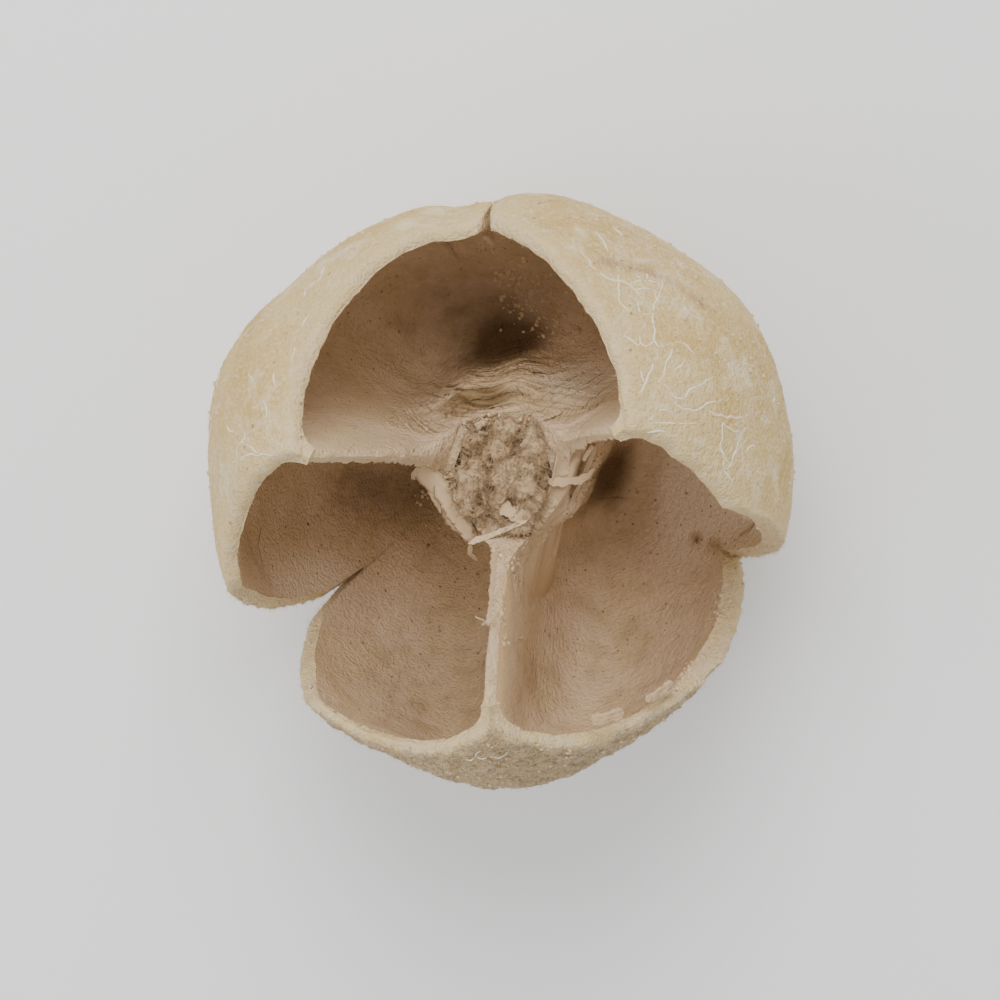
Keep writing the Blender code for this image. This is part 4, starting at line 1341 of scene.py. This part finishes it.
def grain_group():
    """Mottling, specks and height of dry plant tissue, shared by its finishes"""
    tree = bpy.data.node_groups.new("dry_tissue_grain", "ShaderNodeTree")
    for label, kind in (("Place", "NodeSocketVector"), ("Fineness", "NodeSocketFloat"), ("Specks", "NodeSocketFloat")):
        tree.interface.new_socket(label, in_out="INPUT", socket_type=kind)
    for label in ("Mottle", "Speck", "Height"):
        tree.interface.new_socket(label, in_out="OUTPUT", socket_type="NodeSocketFloat")
    start = new_node(tree, "NodeGroupInput")
    end = new_node(tree, "NodeGroupOutput")
    scaled = new_node(tree, "ShaderNodeVectorMath", operation="SCALE")
    tree.links.new(start.outputs["Place"], scaled.inputs[0])
    tree.links.new(start.outputs["Fineness"], scaled.inputs["Scale"])
    place = scaled.outputs["Vector"]
    broad = noise_at(tree, place, 0.45, 3.0, 0.4)
    fine = noise_at(tree, place, 2.2, 3.0)
    mottle = figured(tree, "ADD", figured(tree, "MULTIPLY", broad, 0.5), figured(tree, "MULTIPLY", fine, 0.5))
    dots = new_node(tree, "ShaderNodeTexVoronoi", feature="F1")
    tree.links.new(place, dots.inputs["Vector"])
    dots.inputs["Scale"].default_value = 1.3
    near = ranged(tree, dots.outputs["Distance"], 0.10, 0.22, 1.0, 0.0)
    parts = new_node(tree, "ShaderNodeSeparateColor")
    tree.links.new(dots.outputs["Color"], parts.inputs[0])
    chosen = figured(tree, "LESS_THAN", parts.outputs[0], start.outputs["Specks"])
    ragged = ranged(tree, noise_at(tree, place, 5.0, 2.0), 0.35, 0.55)
    speck = figured(tree, "MULTIPLY", figured(tree, "MULTIPLY", near, chosen), ragged)
    height = figured(tree, "SUBTRACT", fine, figured(tree, "MULTIPLY", speck, 0.8))
    tree.links.new(ranged(tree, mottle, 0.32, 0.68), end.inputs["Mottle"])
    tree.links.new(speck, end.inputs["Speck"])
    tree.links.new(height, end.inputs["Height"])
    return tree


def start_material(name, roughness):
    """A new material with its shader, and the place on the pod in pod radii"""
    material = bpy.data.materials.new(name)
    material.use_nodes = True
    tree = material.node_tree
    shader = tree.nodes["Principled BSDF"]
    shader.inputs["Roughness"].default_value = roughness
    shader.inputs["Specular IOR Level"].default_value = 0.25
    place = new_node(tree, "ShaderNodeTexCoord").outputs["Object"]
    scaled = new_node(tree, "ShaderNodeMapping")
    scaled.inputs["Scale"].default_value = (1.0 / POD_RADIUS,) * 3
    tree.links.new(place, scaled.inputs["Vector"])
    return material, tree, shader, scaled.outputs["Vector"]


def tissue(tree, place, fineness, specks):
    """Place the shared grain in a material"""
    made = new_node(tree, "ShaderNodeGroup")
    made.node_tree = bpy.data.node_groups.get("dry_tissue_grain") or grain_group()
    tree.links.new(place, made.inputs["Place"])
    made.inputs["Fineness"].default_value = fineness
    made.inputs["Specks"].default_value = specks
    return made.outputs


def raise_bumps(tree, shader, height, distance, strength=1.0):
    """Give a shader its fine bumps"""
    bump = new_node(tree, "ShaderNodeBump")
    bump.inputs["Strength"].default_value = strength
    bump.inputs["Distance"].default_value = distance
    tree.links.new(height, bump.inputs["Height"])
    tree.links.new(bump.outputs["Normal"], shader.inputs["Normal"])


def shell_material(settings):
    """Bleached wood: cream skin with yellow patches and pale veins, tan lining with painted shade in its hollows and
    painted light on a few paler stretches
    """
    material, tree, shader, place = start_material("bleached_shell", 0.88)
    lining = marked(tree, "lining")
    edge = marked(tree, "edge")
    hollow = marked(tree, "hollow")
    crumbs = marked(tree, "crumbs")
    coat = tissue(tree, place, 22.0, 0.10)
    patches = ranged(tree, noise_at(tree, place, 2.6, 4.0, 0.6), 0.40, 0.64)
    skin = mixed(tree, patches, settings.cream, settings.yellow)
    skin = mixed(tree, ranged(tree, noise_at(tree, place, 9.0, 3.0, 0.5), 0.50, 0.72), skin, settings.bloom)
    skin = mixed(tree, figured(tree, "MULTIPLY", coat["Mottle"], 0.42), skin, settings.yellow)
    skin = mixed(tree, figured(tree, "MULTIPLY", coat["Speck"], 0.60), skin, settings.rust)
    wander = new_node(tree, "ShaderNodeVectorMath", operation="ADD")
    drift = new_node(tree, "ShaderNodeTexNoise")
    drift.inputs["Scale"].default_value = 7.0
    tree.links.new(place, drift.inputs["Vector"])
    slight = new_node(tree, "ShaderNodeVectorMath", operation="SCALE")
    slight.inputs["Scale"].default_value = 0.10
    tree.links.new(drift.outputs["Color"], slight.inputs[0])
    tree.links.new(place, wander.inputs[0])
    tree.links.new(slight.outputs["Vector"], wander.inputs[1])
    net = new_node(tree, "ShaderNodeTexVoronoi", feature="DISTANCE_TO_EDGE")
    net.inputs["Scale"].default_value = 13.0
    tree.links.new(wander.outputs["Vector"], net.inputs["Vector"])
    lines = ranged(tree, net.outputs["Distance"], 0.010, 0.130, 1.0, 0.0)
    shown = ranged(tree, noise_at(tree, place, 3.4, 3.0), 0.50, 0.66)
    lines = figured(tree, "MULTIPLY", lines, shown)
    skin = mixed(tree, figured(tree, "MULTIPLY", lines, 0.30), skin, settings.white)
    granules = ranged(tree, noise_at(tree, place, 60.0, 2.0), 0.52, 0.66)
    skin = mixed(tree, figured(tree, "MULTIPLY", granules, 0.45), skin, settings.bloom)
    dimples = ranged(tree, noise_at(tree, place, 42.0, 2.0), 0.56, 0.70)
    skin = mixed(tree, figured(tree, "MULTIPLY", dimples, 0.55), skin, settings.yellow)
    warm = marked(tree, "warm")
    stain = ranged(tree, noise_at(tree, place, 20.0, 2.0), 0.3, 0.7, 0.15, 0.65)
    skin = mixed(tree, figured(tree, "MULTIPLY", warm, ranged(tree, stain, 0.15, 0.65, 0.55, 1.0)), skin, settings.rust)
    skin = mixed(tree, figured(tree, "MULTIPLY", warm, figured(tree, "MULTIPLY", stain, 0.55)), skin, settings.deep)
    coarse = marked(tree, "coarse")
    # The lower face of one valve turns greyer and darker: partly weathering, partly painted shade on the side turned
    # from the light
    skin = mixed(tree, figured(tree, "MULTIPLY", coarse, 0.62), skin, settings.ash)
    worn = ranged(tree, noise_at(tree, place, 16.0, 4.0, 1.2), 0.36, 0.60)
    skin = mixed(tree, figured(tree, "MULTIPLY", coarse, figured(tree, "MULTIPLY", worn, 0.75)), skin, settings.dun)
    furrows = ranged(tree, noise_at(tree, place, 34.0, 3.0, 1.6), 0.54, 0.66)
    skin = mixed(tree, figured(tree, "MULTIPLY", coarse, figured(tree, "MULTIPLY", furrows, 0.60)), skin, settings.rust)
    shade_patches = ranged(tree, noise_at(tree, place, 12.0, 2.0), 0.45, 0.70)
    inner = tissue(tree, place, 26.0, 0.34)
    pinkish = ranged(tree, noise_at(tree, place, 3.0, 3.0, 0.8), 0.38, 0.66)
    wood = mixed(tree, pinkish, settings.tan, settings.rose)
    wood = mixed(tree, figured(tree, "MULTIPLY", inner["Mottle"], 0.40), wood, settings.dun)
    # Painted shade: the lining darkens in its hollows, patchily, and pales where the shade mark falls below nought,
    # which is painted light
    wood = mixed(tree, figured(tree, "MULTIPLY", shade_patches, figured(tree, "MULTIPLY", hollow, 0.5)), wood, settings.deep)
    wood = mixed(tree, ranged(tree, hollow, -0.80, 0.0, 0.95, 0.0), wood, settings.painted_light)
    wood = mixed(tree, figured(tree, "MULTIPLY", warm, 0.70), wood, settings.honey)
    wood = mixed(tree, ranged(tree, hollow, 0.10, 0.95, 0.0, 0.92), wood, settings.deep)
    fibred = marked(tree, "fibred")
    along = new_node(tree, "ShaderNodeVectorMath", operation="SCALE")
    along.inputs["Scale"].default_value = 3.0
    tree.links.new(place, along.inputs[0])
    across = new_node(tree, "ShaderNodeCombineXYZ")
    tree.links.new(figured(tree, "MULTIPLY", marked(tree, "course"), 42.0), across.inputs["Z"])
    level = new_node(tree, "ShaderNodeVectorMath", operation="MULTIPLY_ADD")
    tree.links.new(along.outputs["Vector"], level.inputs[0])
    level.inputs[1].default_value = (1.0, 1.0, 0.0)
    tree.links.new(across.outputs["Vector"], level.inputs[2])
    fibres = noise_at(tree, level.outputs["Vector"], 1.0, 3.0, 0.3)
    # Painted shade in the slits between the column's level fibres
    slits = figured(tree, "MULTIPLY", fibred, ranged(tree, fibres, 0.30, 0.42, 1.0, 0.0))
    wood = mixed(tree, figured(tree, "MULTIPLY", fibred, ranged(tree, fibres, 0.40, 0.60, 0.45, 0.0)), wood, settings.dun)
    wood = mixed(tree, figured(tree, "MULTIPLY", slits, 0.85), wood, settings.deep)
    wood = mixed(tree, figured(tree, "MULTIPLY", inner["Speck"], 0.75), wood, settings.speck)
    wood = mixed(tree, figured(tree, "MULTIPLY", crumbs, 0.55), wood, settings.crumb)
    lip = mixed(tree, coat["Mottle"], settings.lip, settings.cream)
    color = mixed(tree, ranged(tree, lining, 0.1, 0.9), skin, wood)
    uneven = figured(tree, "MULTIPLY", edge, ranged(tree, noise_at(tree, place, 14.0, 3.0), 0.25, 0.6, 0.55, 1.0))
    color = mixed(tree, uneven, color, lip)
    tree.links.new(color, shader.inputs["Base Color"])
    outside = ranged(tree, lining, 0.1, 0.6, 1.0, 0.0)
    height = figured(tree, "ADD", coat["Height"], figured(tree, "MULTIPLY", figured(tree, "MULTIPLY", lines, outside), 0.2))
    height = figured(tree, "ADD", height, figured(tree, "MULTIPLY", noise_at(tree, place, 95.0, 2.0), 0.9))
    height = figured(tree, "ADD", height, figured(tree, "MULTIPLY", figured(tree, "MULTIPLY", fibred, fibres), 2.5))
    furrowed = figured(tree, "MULTIPLY", coarse, figured(tree, "ADD", worn, furrows))
    height = figured(tree, "SUBTRACT", height, figured(tree, "MULTIPLY", furrowed, 0.8))
    raise_bumps(tree, shader, height, settings.bump)
    tree.links.new(ranged(tree, coat["Mottle"], 0.0, 1.0, 0.80, 0.95), shader.inputs["Roughness"])
    return material


def pith_material(settings):
    """Dry pith: pale and fluffy with brown pits, with painted shade down in its socket and in the creases of its crown
    """
    material, tree, shader, place = start_material("fluffy_pith", 0.95)
    hollow = marked(tree, "hollow")
    fluff = tissue(tree, place, 44.0, 0.16)
    dark = ranged(tree, noise_at(tree, place, 17.0, 3.0), 0.60, 0.72)
    color = mixed(tree, fluff["Mottle"], settings.pale, settings.tan)
    color = mixed(tree, ranged(tree, noise_at(tree, place, 5.0, 3.0), 0.45, 0.70, 0.0, 0.6), color, settings.tan)
    color = mixed(tree, figured(tree, "MULTIPLY", dark, 0.40), color, settings.pit)
    color = mixed(tree, figured(tree, "MULTIPLY", fluff["Speck"], 0.6), color, settings.pit)
    # Painted shade down in the socket and in the creases of the crown
    color = mixed(tree, hollow, color, settings.pit)
    tree.links.new(color, shader.inputs["Base Color"])
    raise_bumps(tree, shader, fluff["Height"], settings.bump)
    return material


def shred_material(name, first, second, bump, uses_marks=True):
    """Dry torn tissue between two colours"""
    material, tree, shader, place = start_material(name, 0.9)
    grains = tissue(tree, place, 40.0, 0.05)
    color = mixed(tree, grains["Mottle"], first, second)
    if uses_marks:
        color = mixed(tree, figured(tree, "MULTIPLY", marked(tree, "edge"), 0.8), second, color)
    tree.links.new(color, shader.inputs["Base Color"])
    raise_bumps(tree, shader, grains["Height"], bump)
    return material


def color_setting(name, description, default):
    """A colour that a user may change"""
    return FloatVectorProperty(name=name, description=description, default=default, subtype="COLOR", min=0.0, max=1.0)


def length_setting(name, description, default):
    """A length that a user may change"""
    return FloatProperty(name=name, description=description, default=default, min=0.0, precision=5, unit="LENGTH")


class PodShellSettings(bpy.types.PropertyGroup):
    """Colours and fine relief of the woody shell"""
    cream: color_setting("Cream", "The bleached skin", (0.66, 0.495, 0.235))
    yellow: color_setting("Yellow", "Yellower patches of the skin", (0.55, 0.37, 0.135))
    bloom: color_setting("Bloom", "Whitish bloom on the skin", (0.75, 0.62, 0.39))
    white: color_setting("White", "The veins drawn in the skin", (0.82, 0.74, 0.58))
    rust: color_setting("Rust", "Small rusty specks of the skin", (0.52, 0.33, 0.17))
    tan: color_setting("Tan", "The lining", (0.66, 0.48, 0.29))
    rose: color_setting("Rose", "Pinker stretches of the lining", (0.72, 0.53, 0.36))
    dun: color_setting("Dun", "Duller mottling of the lining", (0.50, 0.35, 0.18))
    # Ash is partly weathering and partly painted shade on the valve turned from the light
    ash: color_setting("Ash", "The weathered lower face of one valve", (0.44, 0.35, 0.26))
    honey: color_setting("Honey", "A warm stripe beside one septum's edge", (0.92, 0.62, 0.30))
    # Wan is painted light on the lining, laid where its painted shade mark falls below nought
    painted_light: color_setting("Wan", "Paler stretches of the lining", (0.96, 0.80, 0.60))
    # Deep is the painted shade colour of the lining's hollows and of the slits between the column's fibres; it also
    # darkens the warm stain on the skin
    deep: color_setting("Deep", "The lining down in its hollows", (0.10, 0.052, 0.014))
    speck: color_setting("Speck", "Dark specks of the lining", (0.10, 0.06, 0.03))
    crumb: color_setting("Crumb", "Crumbly stretches of the lining", (0.72, 0.56, 0.37))
    lip: color_setting("Lip", "The rim and the septa's free edges", (0.66, 0.52, 0.33))
    bump: length_setting("Bump", "Depth of the finest grain", 0.00034)


class PithSettings(bpy.types.PropertyGroup):
    """Colours and fluff of the pith"""
    pale: color_setting("Pale", "Fluffy pith", (0.49, 0.365, 0.225))
    tan: color_setting("Tan", "Browner pith", (0.48, 0.33, 0.19))
    pit: color_setting("Pit", "Pits in the pith", (0.27, 0.16, 0.07))
    bump: length_setting("Bump", "Depth of the finest grain", 0.00018)
    fluff_length: length_setting("Fluff length", "Longest fibre of the fluff", 0.0012)
    fluff_count: IntProperty(name="Fluff", description="Fibres for a square centimetre", default=1500, min=0)


class VeinSettings(bpy.types.PropertyGroup):
    """The white veins on the skin"""
    girth: length_setting("Girth", "Half the width of a vein", 0.00010)
    count: IntProperty(name="Count", description="Wandering veins besides the drawn ones", default=34, min=0)
    reach: IntProperty(name="Reach", description="Most steps of a wandering vein", default=14, min=4)
    color: color_setting("Colour", "The veins", (0.80, 0.72, 0.56))


class ShredSettings(bpy.types.PropertyGroup):
    """Torn tissue, fibres and crumbs"""
    pale: color_setting("Pale", "Palest torn tissue", (0.74, 0.60, 0.41))
    tan: color_setting("Tan", "Brownest torn tissue", (0.55, 0.39, 0.23))
    crumb: color_setting("Crumb", "Crumbs", (0.76, 0.59, 0.37))
    bump: length_setting("Bump", "Depth of the finest grain", 0.00010)
    fibre_length: length_setting("Fibre length", "Longest fibre of a frayed edge", 0.0006)
    fibre_count: IntProperty(name="Fibres", description="Fibres for a square centimetre of frayed edge", default=800)
    crumb_size: length_setting("Crumb size", "Largest crumb", 0.0007)
    crumb_count: IntProperty(name="Crumbs", description="Crumbs for a square centimetre where thick", default=800)


class StageSettings(bpy.types.PropertyGroup):
    """Floor, light and camera"""
    floor: color_setting("Floor", "The plain floor", (0.92, 0.92, 0.92))
    distance: length_setting("Distance", "From the pod's middle to the camera", 14.0 * POD_RADIUS)
    key: FloatProperty(name="Key", description="Power of the main light", default=2.6, min=0.0, unit="POWER")
    fill: FloatProperty(name="Fill", description="Strength of the light from all round", default=0.80, min=0.0)


SETTINGS = {
    "pod_shell": PodShellSettings,
    "pod_pith": PithSettings,
    "pod_veins": VeinSettings,
    "pod_shreds": ShredSettings,
    "pod_stage": StageSettings,
}


class POD_OT_shell(bpy.types.Operator):
    """Make the fine woody shell in the place of its solid"""
    bl_idname = "seed_pod.make_shell"
    bl_label = "Shell"

    def execute(self, context):
        mesh = shell_mesh()
        piece = add_piece("fine_pod_shell", mesh, shell_material(context.scene.pod_shell))
        take_home(piece, "bleached_wood", "pod_shell")
        return {"FINISHED"}


class POD_OT_pith(bpy.types.Operator):
    """Make the pith with its fluff in the place of its solid"""
    bl_idname = "seed_pod.make_pith"
    bl_label = "Pith"

    def execute(self, context):
        settings = context.scene.pod_pith
        material = pith_material(settings)
        mesh = pith_mesh()
        group = fibre_shapes()
        tree = scatter_tree("pith_fluff_spread", "fray")
        fluff = grown("pith_fluff", mesh.copy(), tree, {
            "Density": settings.fluff_count * 10000.0, "Smallest": settings.fluff_length * 0.25,
            "Largest": settings.fluff_length, "Tilt": 1.1, "Seed": 3, "Shapes": group, "Finish": material})
        clear_shapes(group)
        piece = add_piece("fine_pith_column", mesh, material)
        take_home(piece, "dry_pith", "pith_column")
        take_home(fluff, "dry_pith")
        return {"FINISHED"}


class POD_OT_veins(bpy.types.Operator):
    """Make the net of white veins on the skin"""
    bl_idname = "seed_pod.make_veins"
    bl_label = "Veins"

    def execute(self, context):
        settings = context.scene.pod_veins
        material = shred_material("vein_white", settings.color, settings.color, 0.00005, uses_marks=False)
        paths = vein_path_mesh(settings.girth, settings.count, settings.reach, 12)
        piece = grown("skin_veins", paths, vein_tree(), {"Flatness": 1.0, "Sides": 6, "Finish": material})
        take_home(piece, "bleached_wood")
        return {"FINISHED"}


class POD_OT_shreds(bpy.types.Operator):
    """Make the splinter, webs, shards and slivers of torn tissue"""
    bl_idname = "seed_pod.make_shreds"
    bl_label = "Shreds"

    def execute(self, context):
        settings = context.scene.pod_shreds
        material = shred_material("torn_tissue", settings.pale, settings.tan, settings.bump)
        piece = add_piece("torn_shreds", shred_mesh(), material)
        take_home(piece, "bleached_wood")
        return {"FINISHED"}


class POD_OT_fibres(bpy.types.Operator):
    """Fray the torn edges with short fibres"""
    bl_idname = "seed_pod.make_fibres"
    bl_label = "Fibres"

    def execute(self, context):
        settings = context.scene.pod_shreds
        material = shred_material("frayed_fibre", settings.pale, settings.tan, settings.bump, uses_marks=False)
        group = fibre_shapes()
        tree = scatter_tree("frayed_edge_spread", "fray")
        values = {
            "Density": settings.fibre_count * 10000.0, "Smallest": settings.fibre_length * 0.3,
            "Largest": settings.fibre_length, "Tilt": 0.9, "Seed": 7, "Shapes": group, "Finish": material}
        piece = grown("frayed_fibres", bpy.data.objects["fine_pod_shell"].data.copy(), tree, values)
        clear_shapes(group)
        take_home(piece, "bleached_wood")
        return {"FINISHED"}


class POD_OT_crumbs(bpy.types.Operator):
    """Strew crumbs where the lining and the rim have crumbled"""
    bl_idname = "seed_pod.make_crumbs"
    bl_label = "Crumbs"

    def execute(self, context):
        settings = context.scene.pod_shreds
        material = shred_material("crumb_tissue", settings.crumb, settings.tan, settings.bump, uses_marks=False)
        group = crumb_shapes()
        tree = scatter_tree("crumb_spread", "crumbs")
        values = {
            "Density": settings.crumb_count * 10000.0, "Smallest": settings.crumb_size * 0.15,
            "Largest": settings.crumb_size, "Tilt": 2.0, "Seed": 5, "Shapes": group, "Finish": material}
        piece = grown("loose_crumbs", bpy.data.objects["fine_pod_shell"].data.copy(), tree, values)
        clear_shapes(group)
        take_home(piece, "bleached_wood")
        return {"FINISHED"}


def add_light(name, place, aim, size, power):
    """A soft square light that points at a spot"""
    data = bpy.data.lights.new(name, "AREA")
    data.size = size
    data.energy = power
    item = bpy.data.objects.new(name, data)
    item.location = place
    item.rotation_euler = (Vector(place) - Vector(aim)).to_track_quat("Z", "Y").to_euler()
    bpy.context.scene.collection.objects.link(item)


class POD_OT_stage(bpy.types.Operator):
    """Set the plain floor, the soft lights and the camera"""
    bl_idname = "seed_pod.set_stage"
    bl_label = "Stage"

    def execute(self, context):
        settings = context.scene.pod_stage
        shape = bmesh.new()
        bmesh.ops.create_grid(shape, x_segments=1, y_segments=1, size=2.0)
        mesh = bpy.data.meshes.new("floor")
        shape.to_mesh(mesh)
        shape.free()
        material = bpy.data.materials.new("plain_floor")
        material.use_nodes = True
        material.node_tree.nodes["Principled BSDF"].inputs["Base Color"].default_value = (*settings.floor, 1.0)
        material.node_tree.nodes["Principled BSDF"].inputs["Roughness"].default_value = 0.9
        floor = add_piece("floor", mesh, material)
        middle = Vector((0.0, 0.0, -base_height() * POD_RADIUS))
        back = Vector((0.143, 0.188, 0.972))
        right = Vector((0.987, -0.100, -0.126))
        up = Vector((0.073, 0.977, -0.200))
        view = bpy.data.cameras.new("camera")
        view.sensor_width = 36.0
        view.lens = 36.0 * settings.distance / POD_RADIUS * 0.293
        view.shift_y = -0.012
        view.clip_start = 0.01
        camera = bpy.data.objects.new("camera", view)
        turn = Matrix((right, up, back)).transposed()
        camera.rotation_euler = turn.to_euler()
        camera.location = middle + back * settings.distance
        context.scene.collection.objects.link(camera)
        context.scene.camera = camera
        add_light("key", (0.05, 0.34, 0.42), middle, 0.30, settings.key)
        add_light("side", (-0.40, -0.10, 0.30), middle, 0.40, settings.key * 0.35)
        world = context.scene.world or bpy.data.worlds.new("soft_light")
        context.scene.world = world
        world.use_nodes = True
        sky = world.node_tree.nodes["Background"]
        sky.inputs["Color"].default_value = (1.0, 1.0, 1.0, 1.0)
        sky.inputs["Strength"].default_value = settings.fill
        return {"FINISHED"}


OPERATORS = (POD_OT_shell, POD_OT_pith, POD_OT_veins, POD_OT_shreds, POD_OT_fibres, POD_OT_crumbs, POD_OT_stage)


class POD_PT_panel(bpy.types.Panel):
    """The seed pod's pieces and their settings"""
    bl_idname = "POD_PT_panel"
    bl_label = "Seed pod"
    bl_space_type = "VIEW_3D"
    bl_region_type = "UI"
    bl_category = "Seed pod"

    def draw(self, context):
        for operator in OPERATORS:
            self.layout.operator(operator.bl_idname)
        for name, kind in SETTINGS.items():
            box = self.layout.box()
            box.label(text=kind.__doc__)
            for key in kind.__annotations__:
                box.prop(getattr(context.scene, name), key)


def register():
    """Add the settings, operators and panel"""
    for name, kind in SETTINGS.items():
        bpy.utils.register_class(kind)
        setattr(bpy.types.Scene, name, PointerProperty(type=kind))
    for kind in (*OPERATORS, POD_PT_panel):
        bpy.utils.register_class(kind)


def unregister():
    """Take the settings, operators and panel away"""
    for kind in reversed((*OPERATORS, POD_PT_panel)):
        bpy.utils.unregister_class(kind)
    for name, kind in reversed(SETTINGS.items()):
        delattr(bpy.types.Scene, name)
        bpy.utils.unregister_class(kind)


def main():
    """Make every piece and the stage"""
    register()
    for operator in OPERATORS:
        group, name = operator.bl_idname.split(".")
        getattr(getattr(bpy.ops, group), name)()


if __name__ == "__main__":
    main()
